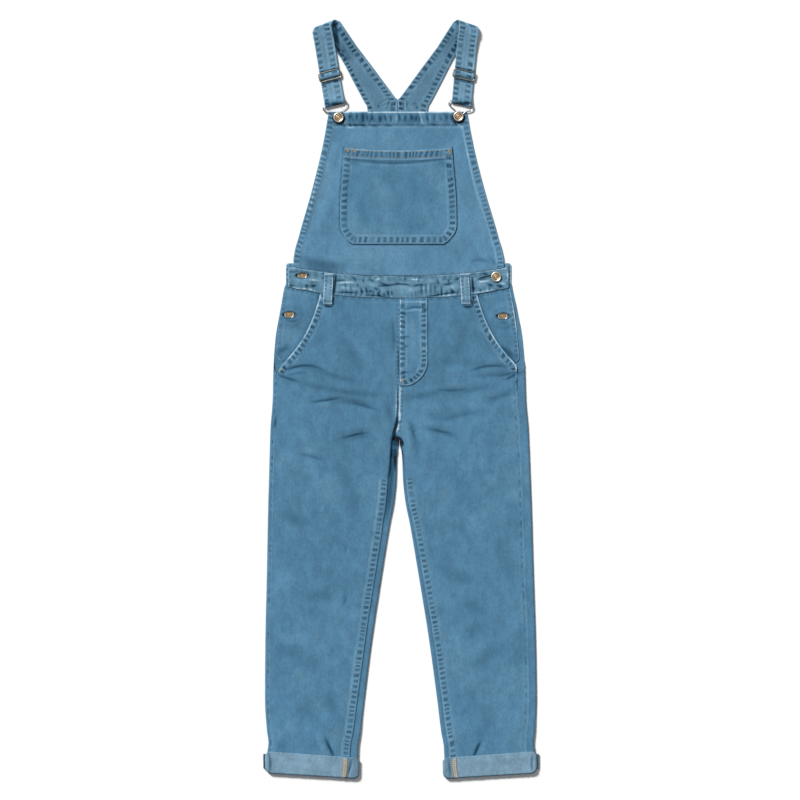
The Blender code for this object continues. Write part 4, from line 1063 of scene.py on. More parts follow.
def shell(name, grid, thick, look, grows_up=True, raised=0.0):
    """A closed wall of cloth: a grid of points on its hollow side, grown along the grid's normals.

    grows_up says which way the middle of the first row grows. raised lifts the hollow side outward.
    """
    rows, cols = grid.x.shape
    thick = np.broadcast_to(thick, (rows, cols))[..., None]
    raised = np.broadcast_to(raised, (rows, cols))[..., None]
    inside = grid.points
    normal = grid_normals(inside)
    flipped = (normal[0, cols // 2, 2] > 0) != grows_up
    if flipped:
        normal = -normal
    outside = inside + normal * thick
    inside = inside - normal * raised
    numbers = np.arange(rows * cols).reshape(rows, cols)
    loop = np.concatenate([numbers[0, :-1], numbers[:-1, -1], numbers[-1, :0:-1], numbers[:0:-1, 0]])
    flat_in = inside.reshape(-1, 3)
    flat_out = outside.reshape(-1, 3)
    middle = (flat_in[loop] + flat_out[loop]) / 2
    inward = np.pad(numbers[1:-1, 1:-1], 1, mode="edge").reshape(-1)[loop]
    for flat in (flat_in, flat_out):
        way = flat[inward] - flat[loop]
        reach = np.linalg.norm(way, axis=1, keepdims=True)
        wall = np.linalg.norm(flat_out[loop] - flat_in[loop], axis=1, keepdims=True)
        flat[loop] = flat[loop] + way / np.maximum(reach, 1e-9) * np.minimum(wall * ROUND, reach * 0.45)
    count = rows * cols
    points = np.concatenate([flat_out, flat_in, middle])
    a, b, c, d = numbers[:-1, :-1], numbers[:-1, 1:], numbers[1:, 1:], numbers[1:, :-1]
    top = np.stack([a, b, c, d], axis=-1).reshape(-1, 4)
    under = top[:, ::-1] + count
    after = np.roll(loop, -1)
    mid = 2 * count + np.arange(len(loop))
    mid_after = np.roll(mid, -1)
    rim_out = np.stack([after, loop, mid, mid_after], axis=-1)
    rim_in = np.stack([mid_after, mid, loop + count, after + count], axis=-1)
    faces = np.concatenate([top, under, rim_out, rim_in])
    if flipped:
        faces = faces[:, ::-1]
    values = {}
    for mark in ("tone", "phase", "pinch"):
        flat = getattr(grid, mark).reshape(-1)
        values[mark] = np.concatenate([flat, flat, flat[loop]])
    made = mesh_of(name, points, faces, [LOOKS[look]], values)
    SHELLS.append(made)
    return made


def cloth_piece(node, grid, thick, look, rests_on=(), holes=(), held="laid", slot="denim", **grown):
    """holes has a middle, half a length, half a width and any turn for each. grown is what shell takes.
    """
    made = shell(node + "_cloth", grid, thick, look, **grown)
    for hole in holes:
        cut_buttonhole(made, *hole)
    part_of_garment(made, node)


def stitch(line, thread="blue thread", drawn=0.74):
    """Notes a row of stitches, and what share of its length the thread shows."""
    THREADS.append((np.asarray(line, float)[:, :2], thread, drawn))


def stitch_seam(seam, side, rows=(True, True), thread="blue thread"):
    """Notes a seam's rows of stitches, on the left (1) or right (-1) of its line."""
    for distance, wanted in zip((seam.first, seam.second), rows):
        if wanted:
            stitch(moved_aside(seam.path, side * distance), thread)


def seam_columns(width, middle_step):
    """Distances across a piece whose width changes from row to row, close together beside its two edges."""
    width = np.asarray(width, float).reshape(-1, 1)
    fine = np.array(FINE)
    scale = np.minimum(width / (2.0 * fine[-1] + 8.0), 1.0)
    start = fine[None, :] * scale
    end = width - fine[None, ::-1] * scale
    count = max(int(round((width.max() - 2 * fine[-1]) / middle_step)), 2)
    between = blend(start[:, -1:], end[:, :1], np.linspace(0, 1, count + 1)[1:-1][None, :])
    return np.concatenate([start, between, end], axis=1)


def seam_rows(start, end, seam=True):
    """Heights from start down to end, close together beside the seam, if any, at the start."""
    top = start - np.array(FINE[:-2]) if seam else np.array([start])
    return np.concatenate([top, steps(top[-1], end, ROW)[1:]])


# ---------------------------------------------------------------- legs


def leg_line(side, edge, start, end):
    """A line down one edge of a front panel, in the plan."""
    height = steps(start, end, 6.0)
    offset = SIDES[side] * mouth(side, height) if edge == "outer" else front_inner(side, height)
    return together(*on_leg(height, offset))


def fly_cover(side, x, y):
    """1 where the fly lap lies over the front panel."""
    if side == "right":
        return np.zeros(x.shape)
    return smooth(x - centre(y), FLY_WIDTH + 4, FLY_WIDTH) * smooth(y, FLY_END - 2, FLY_END + 4)


# A side seam's and an inside seam's rows on the front panel, by side: the first and second row, how light the
# edge is, how strong the puckers are, and how far apart those of the side seam.
OUTSEAM = {"left": (5.0, 8.2, 0.22, 0.36, 17.0), "right": (1.5, 3.0, 0.22, 0.1, 14.0)}
INSEAM = {"left": (4.8, 13.0, 0.42, 0.86), "right": (4.0, 12.4, 0.36, 0.94)}
INSEAM_DARK = {"left": 0.35, "right": 1.0}  # how dark a front panel's inner edge is below the crotch: painted shade where it stands over the back panel's strip
INSEAM_START = -146.0  # where the puckers of the inside seams start
JOIN = 0.7  # how much further a front panel reaches into a seam than its solid, so the seam lies closed


def front_leg(side):
    sign = SIDES[side]
    seed = 11 if side == "left" else 31
    top = BAND_BOTTOM - GAP
    height = seam_rows(top, LEG_END)[:, None]
    closed = smooth(height, CROTCH_BACK, CROTCH_BACK - 20) if side == "left" else 0.0
    start = front_inner(side, height) - sign * JOIN * closed
    end = sign * (mouth(side, height) + JOIN * smooth(height, POCKET_END, POCKET_END - 8))
    offset = start + sign * seam_columns(np.abs(end - start), LEG_COLUMN)
    x, y = on_leg(height, offset)
    grid = Grid(x, y, front_underside(side, x, y))
    pocket = Seam(leg_line(side, "outer", top, POCKET_END + 0.1), 3.4, 11.0, 0.95, 1.0, 9.8, seed, 3.5, 0.12)
    outseam = Seam(leg_line(side, "outer", POCKET_END, LEG_END), *OUTSEAM[side], seed + 1, 3.0, 0.3)
    inseam = Seam(leg_line(side, "inner", INSEAM_START, LEG_END), *INSEAM[side], 9.2, seed + 2)
    rise = Seam(leg_line(side, "inner", top, CROTCH_FRONT), 1.6, 7.0, 0.6, 0.35, 8.0, seed + 3)
    # The waist seam's edge below 0 is a painted shadow under the waistband's lower edge.
    waist = Seam(together(*on_leg(top, np.linspace(start[0, 0], end[0, 0], 30))), 1.0, 5.0, -0.6, 0.3, 12.0,
                 seed + 4)
    open_part = 1.0 - fly_cover(side, x, y)
    for seam in (pocket, outseam, inseam, rise, waist):
        grid.sew(seam, open_part)
    grid.crease(LEG_MARKS, open_part * smooth(y, -682, -668))
    grid.crease(CROTCH_MARKS, smooth(np.abs(offset - start), 7, 4))
    grid.ruffle(17.0, 0.18, 0.05, 3, open_part)
    grid.ruffle(8.0, 0.12, 0.03, 5, open_part)
    grid.ruffle(44.0, 0.0, 0.06, 8)
    grid.tone -= 0.08 * smooth(y, -40.0, 60.0)
    low = smooth(height, CROTCH_BACK, CROTCH_BACK - 30)
    grid.tone -= INSEAM_DARK[side] * low * line_mark(np.abs(offset - start), 1.8)
    grid.height *= smooth(y, -664, -650)
    stitch_seam(pocket, -sign)
    stitch_seam(inseam, sign)
    if side == "left":
        low = leg_line(side, "inner", FLY_END - 6, CROTCH_FRONT)
        for distance in (2.2, 8.0):
            stitch(moved_aside(low, distance))
    thick = np.maximum(CLOTH + grid.height, 0.5)
    cloth_piece("front_leg_" + side, grid, thick, "denim", ["back_leg_" + side])


def back_section(side, height):
    """A back panel's hollow face at one height, from the strip on one edge to that on the other."""
    arc = math.pi * (SPACE - CLOTH) / 2
    parts = []
    for edge in ("inner", "outer"):
        if edge == "outer":
            turned = float(math.pi * smooth(height, 84, POCKET_END - 6))
            reach, sign = outer_edge(height), 1
        else:
            turned = float(math.pi * smooth(height, CROTCH_BACK, CROTCH_BACK - 26))
            reach, sign = inner_edge(height), -1
        points = []
        for turn in np.linspace(0.0, turned, 9):
            if turned < 0.01:
                points.append((arc * len(points) / 8, 0.0))
            else:
                radius = arc / turned
                points.append((radius * math.sin(turn), radius * (1.0 - math.cos(turn))))
        folded = float(smooth(turned, math.pi * 0.8, math.pi))
        tail = blend(0.5, strip(side, edge, height) - SPACE / 2 - CLOTH / 2 - GAP / 2, folded)
        last = points[-1]
        for part in (0.12, 0.25, 0.4, 0.55, 0.7, 0.82, 0.92, 1.0):
            points.append((last[0] + tail * part * math.cos(turned),
                           last[1] + tail * part * math.sin(turned)))
        if turned < math.pi / 2:
            most = points[-1][0] + CLOTH * math.sin(turned)
        else:
            most = arc / turned + CLOTH
        parts.append([(float(reach) + sign * (out - most), up) for out, up in points])
    inner, outer = parts
    floor = [(blend(inner[0][0], outer[0][0], part), 0.0) for part in np.linspace(0, 1, 30)[1:-1]]
    return inner[::-1] + floor + outer


def back_leg(side):
    seed = 51 if side == "left" else 71
    heights = seam_rows(BACK_BAND_BOTTOM - GAP, LEG_END, seam=False)
    section = np.array([back_section(side, height) for height in heights])
    offset, rise = section[..., 0], section[..., 1]
    height = heights[:, None]
    x = centre(height) + SIDES[side] * offset
    y = height + hem_tilt(height, offset)
    grid = Grid(x, y, CLOTH + rise + lift(height))
    on_top = smooth(rise, 0.6, SPACE - CLOTH)
    below = 1.0 - on_top
    notches = 0.5 if side == "right" else 0.12
    outseam = Seam(leg_line(side, "outer", POCKET_END, LEG_END), 0.8, 3.2, 0.05, notches, 15.0, seed, 2.5,
                   0.35)
    # The inside seam's edge below 0 is a painted shadow beside the front panel's inner edge.
    inseam = Seam(leg_line(side, "inner", CROTCH_BACK - 8, LEG_END), 1.5, 3.0, -0.3, 0.1, 11.0, seed + 1)
    for seam in (outseam, inseam):
        grid.sew(seam, on_top)
    grid.ruffle(15.0, 0.12, 0.06, 4, on_top)
    grid.ruffle(36.0, 0.0, 0.05, 9)
    rim = np.minimum(outer_edge(height) - offset, offset - inner_edge(height))
    grid.tone -= 0.3 * line_mark(rim - 0.3, 1.1) * smooth(height, 60, 40)
    grid.crease(CROTCH_MARKS, smooth(y, -250, -200))
    grid.height = np.maximum(grid.height, -0.3)
    grid.crease(BACK_MARKS, below * smooth(np.abs(offset - inner_edge(height)), 8, 30))
    grid.height = np.where(on_top > 0.5, grid.height, np.clip(grid.height, -0.5, 0.0))
    cloth_piece("back_leg_" + side, grid, CLOTH + grid.height, "denim", grows_up=False)


PLACKET = {"left": (0.7, 0.45), "right": (0.2, 0.25)}  # how light its outer edge is, and its puckers


def hip_facing(side):
    sign = SIDES[side]
    seed = 91 if side == "left" else 97
    button = place_of(HIP_BUTTONS, side)
    height = seam_rows(BAND_BOTTOM - GAP, FACING_END)[:, None]
    start = np.minimum(through(POCKET_MOUTH, height) - FACING_LAP, FACING_INNER_MOST)
    low_end = blend(FACING_TOP_HALF, FACING_LOW_HALF, smooth(height, 90, 60))
    end = np.minimum(outer_edge(height) - FACING_MARGIN[side], low_end)
    offset = start + seam_columns(end - start, 3.2)
    x = centre(height) + sign * offset
    y = under_band(height, x)
    grid = Grid(x, y, CLOTH + GAP + bump(x, y, button, BUTTON_SEAT + GAP))
    beyond = offset - through(POCKET_MOUTH, height)
    seen = smooth(beyond, -4, 2)
    placket = Seam(together(x[:, -1], y[:, -1])[::2], 2.0, 7.0, *PLACKET[side], 9.0, seed)
    # The waist seam's edge below 0 is a painted shadow under the waistband's lower edge.
    waist = Seam(together(x[0], y[0])[::2], 1.0, 5.5, -0.6, 0.3, 10.0, seed + 1)
    for seam in (placket, waist):
        grid.sew(seam, seen)
    grid.crease(FACING_MARKS, seen)
    grid.ruffle(14.0, 0.12, 0.03, 6, seen)
    grid.ruffle(30.0, 0.0, 0.1, 2)
    # Painted shadow on the facing beside the pocket mouth, whose edge stands over it, and painted shade
    # towards the facing's lower end, inside the pocket.
    shadow_beside_mouth = 0.12 * smooth(beyond, 14, 2) + 0.55 * smooth(beyond, 3.4, 1.0)
    grid.tone -= shadow_beside_mouth + 0.25 * smooth(height, 96, 66)
    thick = np.maximum(CLOTH + grid.height, 0.6)
    holes = [(button, *HIP_BUTTONHOLE)]
    cloth_piece("hip_facing_" + side, grid, thick, "denim", ["back_leg_" + side], holes)


def fly():
    """The fly lap, whose centre edge is the fold that shows light down the middle."""
    height = seam_rows(BAND_BOTTOM - GAP, FLY_TURN)
    height = np.concatenate([height, steps(FLY_TURN, FLY_TIP, 1.6)[1:]])[:, None]
    drop = np.clip((FLY_TURN - height) / (FLY_TURN - FLY_END), 0.0, 1.0)
    start = through(CENTRE_SEAM, height) + GAP / 2
    x = centre(height) + start + seam_columns(FLY_WIDTH * np.sqrt(1.0 - drop * drop), 3.0)
    y = under_band(height, x)
    grid = Grid(x, y, front_underside("left", x, y) + CLOTH + GAP + 0.1)
    outline = together(x[:, -1], y[:, -1])
    half = len(outline) // 2
    outline = np.concatenate([outline[:half:2], outline[half:], [[centre(FLY_END) + 3.0, FLY_END]]])
    middle = Seam(together(x[:, 0], y[:, 0])[::2], 1.2, 8.6, 0.72, 0.95, 10.2, 111)
    around = Seam(outline, 3.4, 10.8, 0.42, 1.0, 10.4, 112)
    for seam in (middle, around):
        grid.sew(seam)
    grid.crease(FLY_MARKS)
    grid.ruffle(12.0, 0.12, 0.05, 12)
    stitch_seam(around, -1)
    cloth_piece("fly", grid, np.maximum(CLOTH + grid.height, 0.6), "denim", ["front_leg_left"])


# ---------------------------------------------------------------- turn-ups

CUFF_CORNER = 8.0  # how round the corners of a turn-up are
# The rows of thread that bind a turn-up's seam: how far each is from its middle line, and its thread.
CUFF_THREADS = (
    (4.6, "brown"), (3.9, "brown"), (3.1, "cream"), (2.3, "cream"), (1.5, "cream"), (0.4, "gold"),
    (-0.4, "gold"), (-1.3, "cream"), (-2.2, "cream"), (-3.2, "gold"), (-4.1, "brown"),
)


def cuff(side, face):
    """Half of a turn-up, the wrong side of the cloth outward, hooked round the leg's end."""
    sign = SIDES[side]
    radius = SPACE / 2
    level = HEMMED + GAP + CLOTH / 2 + radius
    middle = (CUFF_OUTER + CUFF_INNER) / 2
    half = (CUFF_OUTER - CUFF_INNER) / 2 - CLOTH / 2
    flare = CUFF_FLARE if face == "back" else 0.0
    front = 1.0 if face == "front" else 0.0
    inside = CLOTH / 2 + GAP
    path = [(1.0 - part, inside) for part in (0, 0.02, 0.04, 0.07, 0.1, 0.14, 0.19)]
    path += [(part, inside) for part in np.linspace(0.76, 0.0, 16)]
    path += [(-inside * math.sin(turn), inside * math.cos(turn))
             for turn in spread(math.pi / 16, math.pi / 2, 7)]
    path.append((-inside, -CLOTH / 2))
    rows = []
    for along, away in path:
        bend = radius + away
        start = math.asin(GAP / 2 / bend)
        ring = [(half - radius + flare + bend * math.cos(turn), bend * math.sin(turn))
                for turn in spread(start, math.pi / 2, 6)]
        ring += [(blend(half - radius + flare, radius - half, part), bend)
                 for part in np.linspace(0, 1, 84)[1:-1]]
        ring += [(radius - half + bend * math.cos(turn), bend * math.sin(turn))
                 for turn in spread(math.pi / 2, math.pi - start, 6)]
        row = []
        for out, high in ring:
            part = min(max((out + half) / (2 * half), 0.0), 1.0)
            top = blend(CUFF_TOP_INNER, CUFF_TOP_OUTER, part)
            end = blend(CUFF_END_INNER, CUFF_END_OUTER, part) + HEMMED + inside
            short = max(abs(out) - half + CUFF_CORNER, 0.0)
            cut = CUFF_CORNER - math.sqrt(max(CUFF_CORNER**2 - short * short, 0.0))
            top, end = top - 0.6 * cut, end + cut
            y = blend(end, top, along) if along > 0 else end + along
            row.append((centre(y) + sign * (middle + out), y, level + (2 * front - 1) * high))
        rows.append(row)
    points = np.array(rows)
    grid = Grid(*np.moveaxis(points, -1, 0))
    x, y = grid.x, grid.y
    top_edge = Seam(points[0, ::3, :2], 1.0, 4.0, 0.2, 0.12, 10.0, 121)
    grid.sew(top_edge)
    grid.ruffle(13.0, 0.2, 0.05, 14)
    grid.ruffle(6.0, 0.12, 0.04, 15)
    grid.ruffle(30.0, 0.0, 0.06, 16)
    grid.crease(CUFF_MARKS, front)
    gold = on_plan(CUFF_SEAM[side])
    beyond = sign * (np.interp(y, gold[::-1, 1], gold[::-1, 0]) - x)
    band = np.abs(beyond)
    grid.height += front * (0.5 * smooth(band, 7.0, 5.0) - 0.4 * line_mark(band - 6.2, 1.0))
    grid.tone += front * (0.42 * line_mark(beyond + 3.4, 1.8) - 0.45 * line_mark(beyond - 3.8, 1.7))
    grid.tone -= front * 0.32 * smooth(beyond, 5, 7)
    # Painted shade on the lower edge where the turn-up rolls under the leg, and over the whole back half.
    up_it = np.array([along for along, _ in path])[:, None]
    grid.tone -= front * 0.75 * smooth(up_it, 0.06, -0.5) + 0.5 * (1.0 - front)
    for shift, thread in CUFF_THREADS if front else ():
        stitch(gold + (shift * sign, 0.0), thread + " thread", 1.1)
    thick = HEMMED + np.clip(grid.height, -0.5, 0.7)
    name = "cuff_%s_%s" % (face, side)
    cloth_piece(name, grid, thick, "cuff", ["back_leg_" + side], held="folded", slot="denim_wrong_side",
                grows_up=face == "front")


# ---------------------------------------------------------------- waist


def band_line(part):
    """A line along the front waistband, part of the way up it."""
    x = centre(BAND_TOP) + np.linspace(-1, 1, 60) * BAND_HALF
    return together(x, band_height(x, part))


def front_waistband():
    edge = np.array([0, 0.02, 0.04, 0.07, 0.1])
    part = np.concatenate([edge, np.linspace(0.13, 0.87, 22), 1.0 - edge[::-1]])[:, None]
    x = centre(BAND_TOP) + spread(-1.0, 1.0, 250)[None, :] * BAND_HALF
    y = band_height(x, part)
    hidden = place_of(WAIST_BUTTONS, "right")
    grid = Grid(x, y, STRAP + GAP + bump(x, y, hidden, BUTTON_SEAT + GAP))
    lower = Seam(band_line(0.0), 1.8, 12.0, 0.05, 0.6, 9.8, 131, 4.0, 0.3)
    upper = Seam(band_line(1.0), 1.8, 9.0, 0.65, 0.4, 10.5, 132, 4.0, 0.4)
    ends = [Seam(grid.points[::4, column, :2], 2.0, 6.0, 0.7, 0.3, 9.0, 133) for column in (0, -1)]
    faded = smooth(np.hypot((grid.x - 5.0) / 23.0, (grid.y - 203.0) / 8.5), 1.25, 0.6)
    for seam in (lower, upper, *ends):
        grid.sew(seam, 1.0 - faded)
    calm = 1.0 - 0.6 * smooth(np.hypot(grid.x - hidden[0], grid.y - hidden[1]), 22, 14)
    grid.crease(WAIST_MARKS, calm)
    grid.ruffle(9.0, 0.3, 0.16, 17, calm)
    grid.ruffle(5.0, 0.16, 0.12, 18, calm)
    grid.tone += 0.3 * faded - 0.5 * smooth(grid.x, 194.0, 200.0)
    thick = np.clip(HEMMED + grid.height, 1.2, 3.0)
    slit = (WAIST_SLIT_AT[0] + centre(WAIST_SLIT_AT[1]), WAIST_SLIT_AT[1])
    holes = [(hidden, *WAIST_BUTTONHOLE), (slit, *WAIST_SLIT, WAIST_SLIT_TURN)]
    cloth_piece("front_waistband", grid, thick, "hem", ["back_waistband"], holes)
    stitch_seam(lower, 1, (True, False))
    stitch_seam(upper, -1, (True, False))


def back_waistband():
    depths = np.array([0, 0.4, 1.0, 1.8, 2.8, 4.0, 5.0, 6.0, 8, 10, 12.5, 15, 18, 22, 26, 30, 34, 37, 39,
                       40.5])
    near = np.array([0, 0.8, 1.6, 2.6, 4, 5.5, 7, 9, 11, 14, 18, 24])
    height = (BACK_BAND_TOP - depths)[:, None]
    drop = np.maximum(BACK_BAND_CORNER - depths, 0.0)[:, None]
    half = BACK_BAND_HALF - BACK_BAND_CORNER + np.sqrt(BACK_BAND_CORNER**2 - drop * drop)
    offset = np.concatenate([half - near, (half - 34) * np.linspace(1, -1, 24), near[::-1] - half], axis=1)
    grid = Grid(centre(height) + offset, height, STRAP)
    points = grid.points[..., :2]
    grid.sew(Seam(np.concatenate([points[::-3, 0], points[0, ::2], points[::3, -1]]), 2.0, 8.0, 0.8, 0.6, 8.6,
                  141))
    open_part = smooth(np.abs(offset), BAND_HALF - 6, BAND_HALF - 1)
    raised = np.clip(grid.height, -0.2, 0.35) * open_part
    cloth_piece("back_waistband", grid, STRAP, "hem", grows_up=False, raised=raised)


LOOP_LEAN = {"left": -2.6, "right": 2.4}  # how far a belt loop's top end lies to one side of its bottom end


def belt_loop(side):
    over_band = STRAP + HEMMED + 2 * GAP
    over_leg = SPACE + CLOTH + GAP
    profile = ((LOOP_BOTTOM, over_leg + 0.5), (180, over_leg + 0.7), (186, over_leg + 1.2),
               (192, over_band + 1.0),
               (204, over_band + 1.4), (218, over_band + 1.2), (226, over_band + 0.6), (LOOP_TOP, over_band))
    height = steps(LOOP_BOTTOM, LOOP_TOP, 1.3)[:, None]
    half = np.array([1, 0.92, 0.84, 0.74, 0.62, 0.5, 0.3, 0.1])
    across = np.concatenate([-half, half[::-1]])[None, :]
    x = centre(height) + SIDES[side] * LOOP_X[side] + LOOP_WIDTH / 2 * across
    x = x + LOOP_LEAN[side] * smooth(height, LOOP_BOTTOM, LOOP_TOP)
    grid = Grid(x, height, through(profile, height))
    for column, way in ((0, -1), (-1, 1)):
        edge = Seam(grid.points[::3, column, :2], 1.8, 4.6, 0.85, 0.5, 6.5, 151 + column)
        grid.sew(edge)
        stitch_seam(edge, way, (True, False))
    ends = np.minimum(grid.y - LOOP_BOTTOM, LOOP_TOP - grid.y)
    # The ends are lighter; the dark line a little way in from each end is painted shade in the groove there.
    grid.tone += 1.1 * line_mark(ends, 1.7) - 0.7 * line_mark(ends - 5.2, 1.5)
    grid.ruffle(8.0, 0.0, 0.3, 19)
    thick = np.clip(LOOP_THICK + grid.height - 0.35 * line_mark(ends - 4.5, 1.4), 0.9, 2.2)
    cloth_piece("belt_loop_" + side, grid, thick, "strap", ["front_waistband"])


# ---------------------------------------------------------------- bibs


def bib_underside(x, y):
    behind = through(BACK_BIB_EDGE, y)
    beyond = smooth(np.abs(x - centre(y)), behind + 16.0, behind + 42.0) * smooth(y, BACK_BAND_TOP, 290)
    return (STRAP + GAP) * (1.0 - beyond)


def across_between(half, inset, count):
    """Places across a piece from edge to edge, with its fine columns beside each edge."""
    inner = half - inset[-1]
    return np.concatenate([inset[None, :] - half, inner * np.linspace(-1, 1, count)[1:-1],
                           half - inset[None, ::-1]], axis=1)


def bib():
    top_inset = np.array([0, 0.7, 1.4, 2.4, 3.4, 4.8, 6.4, 8.2, 10, 11.8, 13.6, 15.4, 17.2, 19, 20.8, 22.4,
                          24, 25.6, 27.4])
    side_inset = np.array([0, 0.7, 1.4, 2.3, 3.4, 4.8, 6.2, 7.6, 9.0, 10.4, 11.6, 12.6, 13.6, 14.8, 16.4,
                           19.0, 23.0])
    below_hem = steps(BIB_TOP - top_inset[-1], BAND_TOP + GAP, 2.3)[1:]
    height = np.concatenate([BIB_TOP - top_inset, below_hem])[:, None]
    half = through(BIB_EDGE, height)
    offset = across_between(half, side_inset, 116)
    x = centre(height) + offset
    y = over_band(height, x)
    grid = Grid(x, y, bib_underside(x, y))
    from_side = half - np.abs(offset)
    in_top = height - (BIB_TOP - BIB_TOP_HEM)
    hemmed = smooth(np.maximum(in_top, BIB_SIDE_HEM - from_side), -HEM_STEP, 0)
    line_y = steps(BIB_TOP, BAND_TOP, 7.0)
    sides = []
    for sign in (1, -1):
        line_x = centre(line_y) + sign * through(BIB_EDGE, line_y)
        sides.append(Seam(together(line_x, over_band(line_y, line_x)), 2.2, 10.8, 0.3, 0.8, 9.2, 163 + sign))
    top_x = centre(BIB_TOP) + np.linspace(-1, 1, 60) * BIB_EDGE[-1][1]
    top = Seam(together(top_x, BIB_TOP), 2.6, 21.5, 0.5, 0.3, 8.4, 165, 11.0, 0.5)
    low = Seam(band_line(1.0), 1.0, 3.5, 0.4, 0.3, 12.0, 166)
    calm = smooth(from_side, 8, 14)
    patchy = 0.7 + 0.3 * mottle(x, y, 24.0, 21)
    for seam in (*sides, low):
        grid.sew(seam)
    grid.sew(top, calm * patchy)
    in_hem = smooth(in_top, -4, 0)
    ripple = wander(grid.x / 4.6 + 0.9 * wander(grid.y / 9.0 + grid.x / 60.0, 23), 22) * in_hem * calm
    ripple = ripple * (0.7 + 0.5 * wander(grid.x / 31.0, 26))
    # The ripples in the top hem are lighter where they rise and darker where they sink: painted light and
    # shade.
    grid.height += 0.7 * ripple
    grid.tone += 0.55 * ripple - 0.22 * in_hem * smooth(in_top, BIB_TOP_HEM - 1, BIB_TOP_HEM - 5)
    grid.tone += 0.9 * line_mark(BIB_TOP - height - 1.3, 1.3) * calm
    grid.tone -= 0.4 * line_mark(in_top - 0.6, 1.8) * (0.6 + 0.5 * wander(grid.x / 9.0, 25)) * calm
    grid.tone += 0.45 * line_mark(in_top + 3.0, 1.7) * calm
    covered = smooth(np.abs(offset), 106, 98) * smooth(y, 289, 297) * smooth(y, 463, 455)
    bare = 1.0 - covered
    grid.crease(BIB_MARKS, bare)
    grid.height *= bare
    grid.ruffle(18.0, 0.15, 0.03, 24, bare)
    grid.ruffle(42.0, 0.0, 0.05, 25)
    # A painted shadow on the bib close round the pocket's edge, with a faint light line further out.
    away, _, _ = beside(grid.x, grid.y, pocket_outline())
    grid.tone += bare * (0.1 * line_mark(away - 4.0, 2.0) - 0.9 * line_mark(away - 0.8, 1.3))
    # A painted shadow of each bib button on the bib, offset below it.
    for side in SIDES:
        button_x, button_y = place_of(BIB_BUTTONS, side)
        under = np.hypot(grid.x - button_x - 0.6, grid.y - button_y + 1.8)
        grid.tone -= 1.9 * smooth(under, 12.4, 10.4)
    stitch_seam(sides[0], -1)
    stitch_seam(sides[1], 1)
    stitch_seam(top, -1, (False, True))
    thick = np.clip(blend(CLOTH, HEMMED, hemmed) + grid.height, 0.7, 3.2)
    cloth_piece("bib", grid, thick, "bib", ["back_bib", "back_waistband"])


def pocket_outline():
    """The bib pocket's edge in the plan: down its left side, along the bottom and up the right."""
    height = np.array([POCKET_TOP, 430, 395, 360, 345, 334, 322, 315, 309, 304, 299, 295, 291, POCKET_BOTTOM])
    half = through(POCKET_EDGE, height)
    down = together(centre(height) - half, height)
    up = together(centre(height) + half, height)[::-1]
    bottom = together(np.linspace(down[-1, 0], up[0, 0], 20)[1:-1], POCKET_BOTTOM)
    return np.concatenate([down, bottom, up])


def bib_pocket():
    inset = np.array([0, 0.7, 1.4, 2.2, 3.2, 4.4, 5.8, 7.2, 8.4, 9.4, 10.4, 12])
    hem = np.array([0, 0.7, 1.4, 2.2, 3.2, 4.6, 6.2, 8, 9.8, 11.4, 13, 14.6, 16, 17.2, 18.2, 19.2, 20.6, 22.4,
                    25])
    middle = steps(POCKET_TOP - hem[-1], POCKET_BOTTOM + inset[-1], 2.1)[1:-1]
    height = np.concatenate([POCKET_TOP - hem, middle, POCKET_BOTTOM + inset[::-1]])[:, None]
    half = through(POCKET_EDGE, height)
    offset = across_between(half, inset, 92)
    y = height - POCKET_TOP_SAG * (1.0 - (offset / half) ** 2) * smooth(height, 400, POCKET_TOP)
    x = centre(height) + offset
    grid = Grid(x, y, bib_underside(x, y) + CLOTH + GAP + 0.15)
    around = Seam(pocket_outline(), 3.4, 13.0, 0.16, 0.95, 11.6, 171, 4.0, 0.1)
    line = np.linspace(-1, 1, 50)
    top_line = together(centre(POCKET_TOP) + line * POCKET_EDGE[-1][1],
                        POCKET_TOP - POCKET_TOP_SAG * (1 - line**2))
    top = Seam(top_line, 3.0, 13.6, 0.62, 0.8, 8.5, 172, 6.0, 0.12)
    for seam in (around, top):
        grid.sew(seam)
    grid.crease(POCKET_MARKS)
    darker = 0.2 * smooth(height, POCKET_TOP - 15.0, POCKET_TOP - 12.0)
    grid.tone += 0.06 - darker * smooth(height, POCKET_TOP - 1.0, POCKET_TOP - 4.0)
    grid.ruffle(16.0, 0.18, 0.04, 26)
    grid.ruffle(34.0, 0.0, 0.06, 27)
    stitch_seam(around, 1)
    stitch_seam(top, -1, thread="tan thread")
    hemmed = smooth(height, POCKET_TOP - POCKET_HEM - HEM_STEP, POCKET_TOP - POCKET_HEM)
    thick = np.clip(blend(CLOTH, HEMMED, hemmed) + grid.height, 0.7, 3.0)
    cloth_piece("bib_pocket", grid, thick, "denim", ["bib"])


def back_bib():
    height = steps(BACK_BAND_TOP + GAP, STRAP_BASE[0].inner_y - GAP, 8.0)[:, None]
    grid = Grid(centre(height) + through(BACK_BIB_EDGE, height) * spread(-1.0, 1.0, 40)[None, :], height,
                CLOTH)
    for column in (0, -1):
        grid.sew(Seam(grid.points[:, column, :2], 2.0, 9.0, 0.5, 0.5, 8.4, 181))
    grid.ruffle(40.0, 0.0, 0.1, 28)
    thick = CLOTH - 0.1 * np.abs(mottle(grid.x, grid.y, 20.0, 29))
    cloth_piece("back_bib", grid, thick, "denim", grows_up=False)


# ---------------------------------------------------------------- straps


